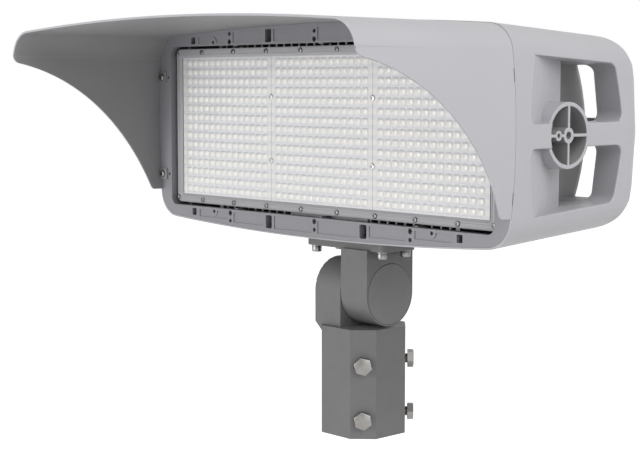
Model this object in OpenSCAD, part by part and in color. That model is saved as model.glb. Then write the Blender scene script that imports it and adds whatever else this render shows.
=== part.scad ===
// Stadium flood light on a slip fitter, in millimetres.
// The origin is the centre of the pole socket's mouth, +Z is up and the lens faces -Y.
// The head is drawn in its own frame, with Y = 0 on the front of the lens frame and
// Z = 0 at the middle of the lens, and then set on the tilt axis of the knuckle.

/* [Head] */
// Width of the head across both end frames, at the front
head_w = 505; // [485:1:530]
// Height of the head at its middle, at the front
head_h = 211; // [204:1:224]
// Depth of the head from the bezel's face to the back
head_d = 199; // [188:1:215]
// Rise of the top and bottom faces over half the width
crown = 8.2; // [4:0.2:10]
// Bow of each side face
side_bow = 4; // [2:0.2:5]
// Radius of the long corner edges
corner_r = 28; // [24:1:30]
// Angle at which each face draws in towards the back
draft = 2.9; // [1.5:0.1:3.2]
// Wall of the castings
wall = 3; // [2.6:0.1:3.6]
// Radius of the curved back, seen from the side
back_r = 170; // [150:5:300]
// Radius of the top and bottom back edges
back_edge_r = 25; // [18:1:28]
// Radius of the upright back edges
back_corner_r = 22; // [16:1:26]
// Width of the middle section between the end frames
middle_w = 344; // [330:2:350]
// Height of the opening in the back
back_open_h = 124; // [120:1:130]

/* [Bezel] */
// Thickness of the bezel
bezel_t = 8; // [7:0.5:9]
// Distance of the bezel's face ahead of the lens frame
bezel_ahead = 5.9; // [4:0.1:6.5]
// Rim of the housing that shows round the bezel
rim_t = 1.1; // [0.8:0.1:1.6]
// Depth of the shallow panels in the bezel's face
panel_depth = 1; // [0.5:0.1:2]

/* [Lens] */
// Width of the lens frame
frame_w = 454.6; // [450:0.2:456]
// Height of the lens frame
frame_h = 164.4; // [162:0.2:165]
// Thickness of the lens frame
frame_t = 4; // [3.6:0.1:5]
// Width of the lens frame's window
window_w = 438; // [432:1:440]
// Height of the lens frame's window
window_h = 146; // [142:1:148]
// Number of lens panels side by side
lens_count = 3; // [3:1:3]
// Thickness of a lens panel
lens_t = 2; // [1.5:0.1:2.5]
// Height of the domes on a lens panel
dome_h = 2.2; // [1.5:0.1:2.6]
// Pitch of the domes
dome_pitch = 9.6; // [8.8:0.1:9.7]
// Domes across one lens panel
dome_cols = 14; // [10:1:14]
// Domes up one lens panel
dome_rows = 15; // [10:1:15]
// Thickness of the lens gasket
gasket_t = 1.5; // [1:0.1:2]
// Thickness of an LED board
board_t = 1.6; // [1:0.2:2]

/* [Heat sink] */
// Thickness of the plate that carries the boards
base_t = 10; // [8:0.5:12]
// Pitch of the fins
fin_pitch = 11.4; // [10:0.2:13]
// Thickness of a fin
fin_t = 2.2; // [1.8:0.1:3]

/* [Driver box] */
// Width of the driver box
box_w = 172; // [160:2:176]
// Height of the driver box
box_h = 114; // [108:1:116]
// Depth of the driver box
box_d = 78; // [74:1:84]
// Wall of the driver box
box_wall = 3; // [2.5:0.1:4]

/* [Grips and bosses] */
// Front edge of a grip window, from the lens frame's face
grip_front = 15.2; // [14.5:0.2:20]
// Back edge of a grip window, from the lens frame's face
grip_back = 157; // [150:1:160]
// Height of a grip window's top edge at the front
grip_top = 71; // [68:0.5:72]
// Half height of the bar between two grip windows
bar_half = 10.8; // [9:0.2:12]
// Depth of the grip bar and of the back pillar
grip_depth = 29; // [26:1:32]
// Diameter of the trunnion boss
boss_d = 59.4; // [56:0.2:60]
// Distance of the boss behind the lens frame's face
boss_y = 71; // [69:0.5:72]
// Rim of the boss
boss_rim = 3.7; // [3:0.1:5]
// Spokes of the boss
spoke_t = 2.8; // [2:0.1:4]
// Diameter of the hub in the boss
hub_d = 14.4; // [13:0.2:16]
// Diameter of the tapped hole in the hub, for an M8 bolt
trunnion_hole_d = 6.8; // [6.4:0.1:8.4]
// Diameter of the hole for the locking pin
pin_hole_d = 4.2; // [4:0.1:5]
// Distance from the hub to the locking pin's hole
pin_offset = 14.6; // [14:0.1:16]

/* [Visor] */
// Reach of the visor ahead of the lens frame's face
visor_reach = 190; // [150:1:210]
// Thickness of the visor's sheet
visor_t = 2; // [1.5:0.1:2.5]
// Radius of the arc along the visor's lower edge
visor_arc_r = 221.6; // [215:0.2:226]
// Height of the visor's lower end, below the middle of the lens
visor_drop = 69.5; // [66:0.5:70]
// Height of each fixing tab
tab_h = 11.4; // [10:0.2:12]
// Height of the tabs above and below the middle
tab_z = 52.5; // [50:0.5:54]

/* [Knuckle] */
// Height of the tilt axis above the socket's mouth
axis_h = 143.7; // [143:0.1:155]
// Height of the lens's middle above the tilt axis
head_lift = 163; // [160:0.5:170]
// Distance of the tilt axis behind the lens frame's face
axis_back = 62.3; // [60:0.1:64]
// Radius of the two knuckle halves
knuckle_r = 32.4; // [30:0.1:33]
// Width of each knuckle half
half_w = 37; // [35:0.1:38]
// Gap between the two halves
half_gap = 0.6; // [0.5:0.1:1]
// Width of the knuckle's flange
flange_w = 112; // [108:1:116]
// Depth of the knuckle's flange
flange_d = 47; // [46:1:50]
// Thickness of the knuckle's flange
flange_t = 10; // [8:0.5:11]
// Half the spacing of the flange screws across the head
flange_hole_x = 47; // [45:0.5:48]
// Half the spacing of the flange screws from front to back
flange_hole_y = 16.5; // [15:0.5:17]
// Diameter of the pivot bolt
pivot_d = 12; // [10:1:12]

/* [Slip fitter] */
// Width of the socket across its flats
socket_w = 78; // [76:0.5:82]
// Cut at each corner of the socket
socket_cut = 18.3; // [16:0.1:20]
// Bore of the socket, for a pole end 60.3 across
socket_bore = 62; // [60.8:0.1:62]
// Depth of the socket's bore
socket_depth = 97; // [90:1:99]
// Diameter of the clamp bolts
clamp_d = 10; // [8:1:10]
// Heights of the lower and the upper pair of clamp bolts
clamp_z = [19.7, 74.4];
// Gap under a clamp bolt's head
clamp_gap = 2.3; // [2:0.1:4]

/* [Hidden] */
$fn = 64;

light_grey = [0.77, 0.77, 0.79];
mid_grey = [0.57, 0.57, 0.59];
dark_grey = [0.45, 0.45, 0.45];
steel = [0.75, 0.73, 0.72];
inner_metal = [0.66, 0.67, 0.69];
black = [0.12, 0.12, 0.13];

// Clearances between pieces
seat_gap = 0.3;
slip_gap = 0.2;
run_gap = 0.05;
hole_gap = 0.25;
// Length that a cut runs past the face that it opens
past = 1;

// Head outline: the big arcs of the faces and the corner arc that joins them
half_width = head_w / 2;
half_height = head_h / 2;
bow_span = 70;
face_y = -bezel_ahead;
back_y = face_y + head_d;
top_arc_r = (pow(half_width - corner_r, 2) + pow(crown, 2)) / (2 * crown);
side_arc_r = (pow(bow_span, 2) + pow(side_bow, 2)) / (2 * side_bow);
crown_angle = atan(crown / (half_width - corner_r));
bow_angle = atan(side_bow / bow_span);
top_centre = [0, half_height - top_arc_r];
side_centre = [half_width - side_arc_r, 0];
arc_line = side_centre - top_centre;
arc_unit = arc_line / norm(arc_line);
arc_a = (pow(top_arc_r - corner_r, 2) - pow(side_arc_r - corner_r, 2)
         + pow(norm(arc_line), 2)) / (2 * norm(arc_line));
arc_h = sqrt(pow(top_arc_r - corner_r, 2) - pow(arc_a, 2));
corner_centre = top_centre + arc_unit * arc_a + [arc_unit[1], -arc_unit[0]] * arc_h;
corner_from = atan2(corner_centre[1] - top_centre[1], corner_centre[0]);
corner_to = atan2(corner_centre[1], corner_centre[0] - side_centre[0]);
arc_steps = 8;

// Points on an arc about centre c
function arc(c, r, from, to, steps) =
    [for (i = [0 : steps]) let (t = from + (to - from) * i / steps) c + r * [cos(t), sin(t)]];

// One quarter of the outline, from the middle of the top to the middle of the side, set in by d
function outline_quarter(d) =
    concat(arc(top_centre, top_arc_r - d, 90, corner_from, arc_steps),
           arc(corner_centre, corner_r - d, corner_from, corner_to, arc_steps),
           arc(side_centre, side_arc_r - d, corner_to, 0, arc_steps));

// A rectangle with round corners, as points, from its lower left to its upper right corner
function rounded(low, high, r) =
    concat(arc([high[0] - r, high[1] - r], r, 0, 90, 3), arc([low[0] + r, high[1] - r], r, 90, 180, 3),
           arc([low[0] + r, low[1] + r], r, 180, 270, 3), arc([high[0] - r, low[1] + r], r, 270, 360, 3));

function turned(points) = [for (i = [len(points) - 1 : -1 : 0]) points[i]];
function inner_points(points) = [for (i = [1 : len(points) - 2]) points[i]];
function scaled_points(points, sx, sy) = [for (p = points) [p[0] * sx, p[1] * sy]];

// The whole outline of the head, set in by d
function outline(d) =
    let (q = outline_quarter(d), m = inner_points(q))
    concat(q, scaled_points(turned(m), 1, -1), [[0, d - half_height]],
           scaled_points(m, -1, -1), [[d - half_width, 0]], scaled_points(turned(m), -1, 1));

// Extrudes a shape drawn in X and Z along Y
module along_y(from, to) {
    translate([0, to, 0]) rotate([90, 0, 0]) linear_extrude(to - from) children();
}

// Extrudes a shape drawn in Y and Z along X
module along_x(from, to) {
    translate([from, 0, 0]) rotate([90, 0, 90]) linear_extrude(to - from) children();
}

// Extrudes a shape drawn in X and Y along Z
module along_z(from, to) {
    translate([0, 0, from]) linear_extrude(to - from) children();
}

// A rectangle with round corners, centred
module round_rect(w, h, r) {
    square([w - 2 * r, h], center = true);
    square([w, h - 2 * r], center = true);
    for (sx = [-1, 1], sy = [-1, 1])
        translate([sx * (w / 2 - r), sy * (h / 2 - r)]) circle(r = r);
}

// A block given by its two corners
module block(low, high) {
    translate(low) cube(high - low);
}

// A rod along an axis name, from one coordinate to another
module rod_x(x0, x1, r) {
    translate([x0, 0, 0]) rotate([0, 90, 0]) cylinder(r = r, h = x1 - x0);
}

module rod_y(y0, y1, r) {
    translate([0, y1, 0]) rotate([90, 0, 0]) cylinder(r = r, h = y1 - y0);
}

// A hexagonal head or nut across flats af, standing on Z = 0
module hex(af, h) {
    cylinder(r = af / 2 / cos(30), h = h, $fn = 6);
}

// Copies to the left and to the right, to the top and to the bottom
module left_right() {
    children();
    mirror([1, 0, 0]) children();
}

module top_bottom() {
    children();
    mirror([0, 0, 1]) children();
}

// Sets the head on the tilt axis
module at_head() {
    translate([0, -axis_back, axis_h + head_lift]) children();
}

module at_axis() {
    translate([0, 0, axis_h]) children();
}

// The back in side view: a curved back that runs into the drawn-in top with a round edge
function back_profile(d) =
    let (k = tan(draft), r = back_edge_r - d, q = back_y - back_r,
         m = half_height - d - r / cos(draft) + k * face_y,
         b = q + m * k, c = q * q + m * m - pow(back_r - back_edge_r, 2),
         y = (b + sqrt(b * b - (1 + k * k) * c)) / (1 + k * k),
         edge = [y, m - k * y], t = atan2(edge[1], edge[0] - q), over = half_height + 30)
    concat([[face_y - 40, -40], [face_y - 40, over], [y + r * sin(draft), over]],
           arc(edge, r, 90 - draft, t, 6),
           arc([q, 0], back_r - d, t, -8, 8),
           [[back_y - 10, -40]]);

// The back in plan: an upright back edge between the drawn-in side and the back
function plan_profile(d) =
    let (r = back_corner_r - d, y = back_y - back_corner_r,
         x = half_width - d - tan(draft) * (y - face_y) - r / cos(draft), over = half_width + 30)
    concat([[-40, face_y - 40], [over, face_y - 40], [over, y + r * sin(draft)]],
           arc([x, y], r, draft, 90, 6),
           [[-40, back_y - d]]);

// The upper right quarter of the head, set in by d
module quarter(d, front = face_y) {
    intersection() {
        translate([0, face_y, 0]) rotate([-draft, 0, draft]) along_y(-40, head_d + 30)
            polygon(concat([[-past, -past], [-past, half_height - d]], outline_quarter(d),
                           [[half_width - d, -past]]));
        block([0, front, 0], [half_width + past, back_y + past, half_height + past]);
        rotate([0, crown_angle, 0]) along_x(-20, half_width + 40) polygon(back_profile(d));
        rotate([0, -bow_angle, 0]) along_z(-20, half_height + 40) polygon(plan_profile(d));
    }
}

module upper_half(d, front = face_y) {
    left_right() quarter(d, front);
}

module right_half(d, front = face_y) {
    top_bottom() quarter(d, front);
}

// The recess that holds the bezel
rabbet_y = face_y + bezel_t + slip_gap;
module bezel_rabbet() {
    along_y(face_y - past, rabbet_y) polygon(outline(rim_t));
}

// Bezel screws, three along the top and three along the bottom
group_screw_x = half_width - 123;
bezel_screw_x = [-group_screw_x, 0, group_screw_x];
bezel_screw_z = frame_h / 2 + 6.4;
bezel_screw_r = 1.5;
bezel_head_r = 2.5;
bezel_hole_r = 2.7;
bezel_screw_seat = face_y + 3.6;
post_back = 13;

module cover_posts() {
    for (x = bezel_screw_x) {
        translate([x, 0, bezel_screw_z]) rod_y(rabbet_y, post_back, 4.5);
        block([x - 2, rabbet_y, bezel_screw_z], [x + 2, post_back, half_height]);
    }
}

// The top cover, which the bottom cover mirrors
cover_half = middle_w / 2 - seat_gap / 2;
cover_screw_x = middle_w / 2 - 12;
cover_screw_y = [48, 128];
cover_screw_r = 2;

module cover_body() {
    difference() {
        union() {
            difference() {
                upper_half(0);
                upper_half(wall, face_y - past);
            }
            intersection() {
                upper_half(wall / 2);
                cover_posts();
            }
        }
        bezel_rabbet();
        left_right() block([cover_half, face_y - past, -past],
                           [half_width + past, back_y + past, half_height + past]);
        block([-half_width, face_y - 2 * past, -2 * past],
              [half_width, back_y + past, back_open_h / 2]);
        for (x = bezel_screw_x)
            translate([x, 0, bezel_screw_z]) rod_y(rabbet_y - past, post_back + past, bezel_screw_r + run_gap);
        for (x = [-1, 1], y = cover_screw_y)
            translate([x * cover_screw_x, y, 0]) cover_screw_space(y, hole_gap);
    }
}

// Height of the top face over a point of the head
function top_z(x, y) =
    half_height - tan(draft) * (y - face_y) - (top_arc_r - sqrt(pow(top_arc_r, 2) - x * x));

// A countersunk screw, with its head just under the cover's face
module cover_screw_space(y, gap) {
    top = top_z(cover_screw_x, y) - 0.6;
    translate([0, 0, top - 2.2]) cylinder(r1 = cover_screw_r + gap, r2 = 4 + gap, h = 2.2);
    translate([0, 0, top - (gap == 0 ? 16 : 17)]) cylinder(r = cover_screw_r + gap, h = gap == 0 ? 14 : 15);
    if (gap > 0)
        translate([0, 0, top]) cylinder(r = 4 + gap, h = 6);
}

module top_cover() {
    color(light_grey) at_head() cover_body();
}

// The pad under the heat sink that the knuckle bolts to
pad_half_x = flange_w / 2 - 2;
flange_centre_y = axis_back - 4.8;
pad_front = flange_centre_y - flange_d / 2 + 1;
pad_back = flange_centre_y + flange_d / 2 - 1;
flange_under = head_lift - 44.7;
pad_under = flange_under - flange_t - 1.5;

module bottom_cover() {
    color(light_grey) at_head() difference() {
        mirror([0, 0, 1]) cover_body();
        block([-pad_half_x - 1, pad_front - 1, -half_height - past], [pad_half_x + 1, pad_back + 1, -80]);
    }
}

// Right end frame: the side face with its two grip windows and the trunnion boss
join_x = middle_w / 2;
core_wall_x = join_x + 3.5;
grip_x = half_width - draft_in(grip_back) - grip_depth;
panel_back_y = 101;
boss_face_x = half_width - draft_in(boss_y) + 0.6;
corner_screw = [frame_w / 2 - 2.5, frame_h / 2 - 5];
panel_slope = (half_width - draft_in(grip_front) - grip_x) / (panel_back_y - grip_front);

function draft_in(y) = tan(draft) * (y - face_y);

// Outline of the upper grip window in side view
grip_r = 8;
module grip_outline() {
    slope = tan(draft);
    top_back = grip_top - slope * (grip_back - grip_front);
    lean = 6;
    translate([0, 0]) {
        polygon(concat(
            arc([grip_front + grip_r, bar_half + grip_r], grip_r, 270, 180, 6),
            arc([grip_front + 3, grip_top - 3], 3, 180, 90, 4),
            arc([grip_back - lean - 9, top_back - 9], 9, 90, 12, 6),
            arc([grip_back - grip_r, bar_half + grip_r], grip_r, 10, -90, 6)));
    }
}

// Outline of the upper window in the back, seen along Y
module back_window_outline() {
    r = 8;
    top = grip_top - 7.5;
    polygon(concat([[core_wall_x, bar_half + 2]], [[core_wall_x, top]],
                   arc([grip_x - r, top - r], r, 90, 0, 6),
                   arc([grip_x - r, bar_half + 2 + r], r, 0, -90, 6)));
}

module grip_pockets() {
    far = half_width + 20;
    out_y = panel_back_y - (far - 5 - grip_x) / panel_slope;
    top_bottom() {
        intersection() {
            along_z(0, half_height) polygon([[grip_x, panel_back_y], [far - 5, out_y], [far, out_y],
                [far, grip_back + past], [core_wall_x, grip_back + past], [core_wall_x, panel_back_y]]);
            along_x(core_wall_x - past, far) grip_outline();
        }
        along_y(panel_back_y + 20, back_y + past) back_window_outline();
    }
    block([core_wall_x, panel_back_y, -bar_half - grip_r - 2], [grip_x, back_y - 22, bar_half + grip_r + 2]);
}

// Hollow behind the sloping panel and round the heat sink's plate
gasket_front = frame_t;
base_front = gasket_front + gasket_t;
base_back = base_front + base_t;
front_bay_x = 240;
bay_back = base_back + seat_gap;
panel_in = 3.4;
bay_foot = [front_bay_x + 3, bay_back];
bay_heel = [grip_x - panel_in, panel_back_y - panel_in];

module frame_hollow() {
    intersection() {
        right_half(wall, face_y - past);
        union() {
            block([0, face_y, -half_height], [front_bay_x, bay_back, half_height]);
            along_z(-half_height, half_height) polygon([[0, 0], [front_bay_x, 0], bay_foot, bay_heel,
                                                        [0, bay_heel[1]]]);
            block([0, 0, -half_height], [join_x, back_y - wall, half_height]);
        }
    }
}

// The bent panel between the bay and the grips: a slope, a step and the wall beside the fins
module inner_panel() {
    foot_x = grip_x + (panel_back_y - bay_back) * panel_slope;
    intersection() {
        right_half(wall);
        along_z(-half_height, half_height) polygon([bay_foot, [foot_x, bay_back], [grip_x, panel_back_y],
            [core_wall_x, panel_back_y], [core_wall_x, back_y], [join_x, back_y],
            [join_x, bay_heel[1]], bay_heel]);
    }
}

// Posts that the corner screws of the lens frame run into
module corner_posts() {
    intersection() {
        right_half(wall / 2);
        top_bottom() {
            translate([corner_screw[0], 0, corner_screw[1]]) rod_y(bay_back, bay_back + 24, 5);
            block([corner_screw[0] - 2, bay_back, corner_screw[1]],
                  [corner_screw[0] + 2, bay_back + 24, half_height]);
        }
    }
}

module boss_pockets() {
    depth = 26;
    translate([boss_face_x - depth, boss_y, 0]) difference() {
        rod_x(0, depth + past, boss_d / 2 - boss_rim);
        rod_x(-past, depth + 2 * past, hub_d / 2);
        translate([0, -pin_offset, 0]) rod_x(-past, depth + 2 * past, 4.65);
        translate([-past, -boss_d, -spoke_t / 2]) cube([depth + 3 * past, 2 * boss_d, spoke_t]);
        translate([-past, -spoke_t / 2, -boss_d]) cube([depth + 3 * past, spoke_t, 2 * boss_d]);
    }
}

boss_l = 44;
boss_room = 0.6;
trunnion_hole_l = 24;
pin_hole_l = 16;
frame_screw_y = 125;
frame_screw_z = 45;
frame_screw_r = 2.5;
visor_screw_x = half_width - 9.5;
visor_screw_r = 2.5;

module end_frame() {
    difference() {
        union() {
            difference() {
                intersection() {
                    right_half(0);
                    block([join_x, face_y - past, -half_height - past],
                          [half_width + past, back_y + past, half_height + past]);
                }
                frame_hollow();
                grip_pockets();
                inner_panel();
            }
            translate([0, boss_y, 0]) rod_x(boss_face_x - boss_l, boss_face_x, boss_d / 2);
            intersection() {
                corner_posts();
                block([join_x, 0, -half_height], [half_width, 80, half_height]);
            }
        }
        bezel_rabbet();
        boss_pockets();
        translate([0, boss_y, 0]) rod_x(boss_face_x - trunnion_hole_l, boss_face_x + past, trunnion_hole_d / 2);
        translate([0, boss_y - pin_offset, 0])
            rod_x(boss_face_x - pin_hole_l, boss_face_x + past, pin_hole_d / 2);
        for (z = [-1, 1]) {
            translate([corner_screw[0], 0, z * corner_screw[1]]) rod_y(0, base_back + 20, 1.5 + hole_gap);
            translate([visor_screw_x, 0, z * tab_z]) rod_y(0, 12, visor_screw_r + run_gap);
        }
    }
}

module grip_panel() {
    difference() {
        inner_panel();
        translate([0, boss_y, 0])
            rod_x(boss_face_x - boss_l - seat_gap, half_width, boss_d / 2 + boss_room);
        for (z = [-1, 1]) translate([0, frame_screw_y, z * frame_screw_z])
            rod_x(join_x - past, core_wall_x + past, frame_screw_r + hole_gap);
    }
}

module grip_panel_right() {
    color(light_grey) at_head() grip_panel();
}

module grip_panel_left() {
    color(light_grey) at_head() mirror([1, 0, 0]) grip_panel();
}

module end_frame_right() {
    color(light_grey) at_head() end_frame();
}

module end_frame_left() {
    color(light_grey) at_head() mirror([1, 0, 0]) end_frame();
}

// Bezel: a plate with a window, seven hole groups top and bottom, and shallow panels between them
slot_gap = 2.4;
bezel_open_w = frame_w + 2 * slot_gap;
bezel_open_h = frame_h + 2 * (slot_gap + 0.4);
group_outer_x = half_width - 62.5;
group_slot_x = half_width - 184.4;
group_x = [-group_outer_x, -group_screw_x, -group_slot_x, 0, group_slot_x, group_screw_x, group_outer_x];
group_half = [9, 5.5, 8, 4.5, 8, 5.5, 9];
small_boss_x = half_width - 96.2;
rim_z = bezel_open_h / 2;

module bezel_holes() {
    for (s = [-1, 1]) {
        translate([s * group_outer_x, rim_z + 5.9]) round_rect(7, 7.4, 1.2);
        translate([s * group_slot_x, rim_z + 8.6]) round_rect(9.4, 13.4, 2);
        translate([s * small_boss_x, bezel_screw_z]) circle(r = 1.9);
        translate([s * (half_width - 18.8), tab_z - 0.1]) circle(r = 1.6);
        translate([s * group_screw_x, rim_z + 11.7]) circle(r = 2.1);
    }
    translate([0, rim_z + 11.7]) circle(r = 2.1);
}

// The shallow panel between group i and the next one
module bezel_panel(i) {
    x0 = group_x[i] + group_half[i];
    x1 = group_x[i + 1] - group_half[i + 1];
    top = half_height - 4.8 - (x0 < 0 ? pow(x0, 2) : pow(x1, 2)) / (2 * top_arc_r);
    low = bezel_open_h / 2 + 2.6;
    difference() {
        polygon(rounded([x0, low], [x1, top], 0.8));
        for (s = [-1, 1]) translate([s * small_boss_x, bezel_screw_z]) circle(r = 5);
    }
}

module front_bezel() {
    inset = rim_t + slip_gap;
    color(mid_grey) at_head() difference() {
        along_y(face_y, face_y + bezel_t) polygon(outline(inset));
        along_y(face_y - past, face_y + bezel_t + past) round_rect(bezel_open_w, bezel_open_h, 8);
        top_bottom() {
            along_y(face_y - past, face_y + bezel_t + past) bezel_holes();
            for (i = [0 : len(group_x) - 2])
                along_y(face_y - past, face_y + panel_depth) bezel_panel(i);
            for (x = bezel_screw_x) translate([x, 0, bezel_screw_z]) {
                rod_y(face_y - past, bezel_screw_seat, bezel_hole_r);
                rod_y(face_y, face_y + bezel_t + past, bezel_screw_r + hole_gap);
            }
            left_right() translate([visor_screw_x, 0, tab_z])
                rod_y(face_y - past, face_y + bezel_t + past, visor_screw_r + hole_gap);
        }
    }
}

module bezel_screws() {
    color(steel) at_head() top_bottom() for (x = bezel_screw_x) translate([x, 0, bezel_screw_z])
        difference() {
            union() {
                rod_y(bezel_screw_seat - 2.4, bezel_screw_seat, bezel_head_r);
                rod_y(bezel_screw_seat, post_back - 2, bezel_screw_r);
            }
            rod_y(bezel_screw_seat - 3, bezel_screw_seat - 1, 1.3);
        }
}

// Heat sink: the plate behind the boards, upright fins and the pad for the knuckle
board_recess = 2.5;
board_back = base_front + board_recess;
board_w = 142;
board_h = 146;
fin_count = floor((middle_w - 20) / fin_pitch / 2) * 2 + 1;
fin_inset = wall + 1.6;
side_plate_t = 5;
box_back = back_y - 18;
box_front = box_back - box_d;
fin_back = back_y - 7;

// All four quarters of the head, set in by d
module whole(d) {
    top_bottom() left_right() quarter(d, face_y - past);
}

// Space of the driver box, with room for its cover's rim
module box_space() {
    block([-box_w / 2 - 6, box_front - seat_gap, -box_h / 2 - 6],
          [box_w / 2 + 6, back_y + past, box_h / 2 + 6]);
}

// Thick places on the side plates for the cover screws, let out by d
module cover_lugs(d) {
    top_bottom() left_right() for (y = cover_screw_y)
        block([cover_screw_x - 6 - d, y - 6 - d, 72 - d], [join_x - seat_gap, y + 6 + d, half_height]);
}

// The foot under the plate that the knuckle bolts to, let out by d
module foot(d) {
    block([-pad_half_x - d, base_back - past, -95 - d], [pad_half_x + d, pad_back + d, -82 + d]);
    block([-pad_half_x - d, pad_front - d, -pad_under], [pad_half_x + d, pad_back + d, -82 + d]);
}

module heat_sink_plate() {
    color(inner_metal) at_head() difference() {
        union() {
            along_y(base_front, base_back) round_rect(frame_w, frame_h, 6);
            foot(0);
            intersection() {
                union() {
                    left_right() block([join_x - side_plate_t - seat_gap, base_back - 0.5, -half_height],
                                       [join_x - seat_gap, fin_back, half_height]);
                    cover_lugs(0);
                }
                whole(wall + seat_gap);
            }
        }
        for (i = [0 : lens_count - 1]) translate([lens_x(i), 0, 0])
            along_y(base_front - past, board_back) round_rect(board_w + 1, board_h + 1, 2);
        lens_frame_holes(base_front + 8, 1.5 + run_gap);
        left_right() top_bottom() translate([corner_screw[0], 0, corner_screw[1]])
            rod_y(0, base_back + past, 1.5 + hole_gap);
        for (x = seam_x(), z = [-seam_z, seam_z])
            translate([x, 0, z]) rod_y(0, base_back - 1, 1.5 + run_gap);
        top_bottom() left_right() for (y = cover_screw_y) translate([cover_screw_x, y, 0])
            translate([0, 0, top_z(cover_screw_x, y) - 20]) cylinder(r = cover_screw_r + run_gap, h = 30);
        left_right() for (z = [-1, 1]) translate([0, frame_screw_y, z * frame_screw_z])
            rod_x(join_x - side_plate_t - past, join_x + past, frame_screw_r + run_gap);
        for (x = [-1, 1], y = [-1, 1])
            translate([x * flange_hole_x, flange_centre_y + y * flange_hole_y, -pad_under - past])
                cylinder(r = flange_screw_r + run_gap, h = 14 + past);
    }
}

module heat_sink_fins() {
    color(inner_metal) at_head() difference() {
        intersection() {
            for (i = [0 : fin_count - 1]) {
                x = (i - (fin_count - 1) / 2) * fin_pitch;
                block([x - fin_t / 2, base_back, -half_height], [x + fin_t / 2, fin_back, half_height]);
            }
            whole(fin_inset);
        }
        box_space();
        foot(0.5);
        cover_lugs(0.5);
    }
}

// Lens panels and LED boards, side by side
panel_pitch = 145.4;
panel_gap = 0.4;
panel_h = 151;
function lens_x(i) = (i - (lens_count - 1) / 2) * panel_pitch;
function seam_x() = [for (i = [1 : lens_count - 1]) (lens_x(i) + lens_x(i - 1)) / 2];
seam_z = 32.1;
chip_size = 3;

module led_board(i) {
    color("white") at_head() translate([lens_x(i), 0, 0]) {
        difference() {
            along_y(board_back - board_t, board_back) round_rect(board_w, board_h, 2);
            for (x = [-1, 1], z = [-1, 1])
                translate([x * panel_pitch / 2, 0, z * seam_z]) rod_y(0, board_back + past, 3.2);
        }
        for (z = [0 : dome_rows - 1])
            block([-dome_cols * dome_pitch / 2 + chip_size, board_back - board_t - 0.6,
                   (z - (dome_rows - 1) / 2) * dome_pitch - chip_size / 2],
                  [dome_cols * dome_pitch / 2 - chip_size, board_back - board_t,
                   (z - (dome_rows - 1) / 2) * dome_pitch + chip_size / 2]);
    }
}

module led_board_1() { led_board(0); }
module led_board_2() { led_board(1); }
module led_board_3() { led_board(2); }

module lens(i) {
    color([0.9, 0.89, 0.87, 0.8]) at_head() translate([lens_x(i), 0, 0]) difference() {
        union() {
            along_y(frame_t - lens_t, frame_t) square([panel_pitch - panel_gap, panel_h], center = true);
            along_y(frame_t - lens_t - dome_h, frame_t - lens_t + 0.1)
                square([dome_cols * dome_pitch, dome_rows * dome_pitch], center = true);
        }
        for (x = [-1, 1], z = [-1, 1])
            translate([x * panel_pitch / 2, 0, z * seam_z]) rod_y(-past, frame_t + past, 1.5 + hole_gap);
    }
}

module lens_1() { lens(0); }
module lens_2() { lens(1); }
module lens_3() { lens(2); }

// Lens frame, its gasket and its screws
frame_screw_pitch = 52.15;
frame_screw_row = 78.4;
frame_row_count = 8;
function row_x(i) = (i - (frame_row_count - 1) / 2) * frame_screw_pitch;

module lens_frame_holes(back, r) {
    for (i = [0 : frame_row_count - 1], s = [-1, 1])
        translate([row_x(i), 0, s * frame_screw_row]) rod_y(-past, back, r);
}

module corner_holes(back, r) {
    left_right() top_bottom() translate([corner_screw[0], 0, corner_screw[1]]) rod_y(-past, back, r);
}

module lens_frame() {
    lens_edge = lens_count * panel_pitch;
    lip = frame_t - lens_t;
    color(mid_grey) at_head() difference() {
        along_y(0, frame_t) round_rect(frame_w, frame_h, 6);
        along_y(-past, frame_t + past) round_rect(window_w, window_h, 1.5);
        along_y(lip, frame_t + past)
            square([lens_edge + 2 * slip_gap, panel_h + 2 * slip_gap], center = true);
        lens_frame_holes(frame_t + past, 1.5 + hole_gap);
        corner_holes(frame_t + past, 1.5 + hole_gap);
    }
}

module lens_gasket() {
    color(black) at_head() difference() {
        along_y(gasket_front, gasket_front + gasket_t) round_rect(frame_w - 1, frame_h - 1, 5.5);
        along_y(0, base_back) round_rect(window_w - 6, window_h - 1, 2);
        lens_frame_holes(base_back, 1.5 + hole_gap);
        corner_holes(base_back, 1.5 + hole_gap);
    }
}

// A small pan-head screw that points back along +Y
module pan_screw(head_r, head_h, r, l) {
    difference() {
        union() {
            rod_y(-head_h, 0, head_r);
            rod_y(0, l, r);
        }
        for (a = [0, 90]) rotate([0, a, 0])
            block([-head_r * 0.55, -head_h - past, -0.3], [head_r * 0.55, -head_h * 0.45, 0.3]);
    }
}

module lens_frame_screws() {
    color(steel) at_head() {
        for (i = [0 : frame_row_count - 1], s = [-1, 1])
            translate([row_x(i), 0, s * frame_screw_row]) pan_screw(2.6, 1.6, 1.5, base_front + 7);
        left_right() top_bottom() translate([corner_screw[0], 0, corner_screw[1]])
            pan_screw(2.6, 1.6, 1.5, base_back + 18);
    }
}

module lens_seam_screws() {
    color(steel) at_head() for (x = seam_x(), z = [-seam_z, seam_z])
        translate([x, frame_t - lens_t, z]) pan_screw(3, 1.4, 1.5, base_back - frame_t + lens_t - 2);
}

// Visor: a bent sheet with the head's outline and four tabs on the bezel
visor_back = face_y - slip_gap;
visor_front = -visor_reach;
visor_arc_centre = [-225.5, -151.3];
nose_r = 8;
heel_r = 6;

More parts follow.
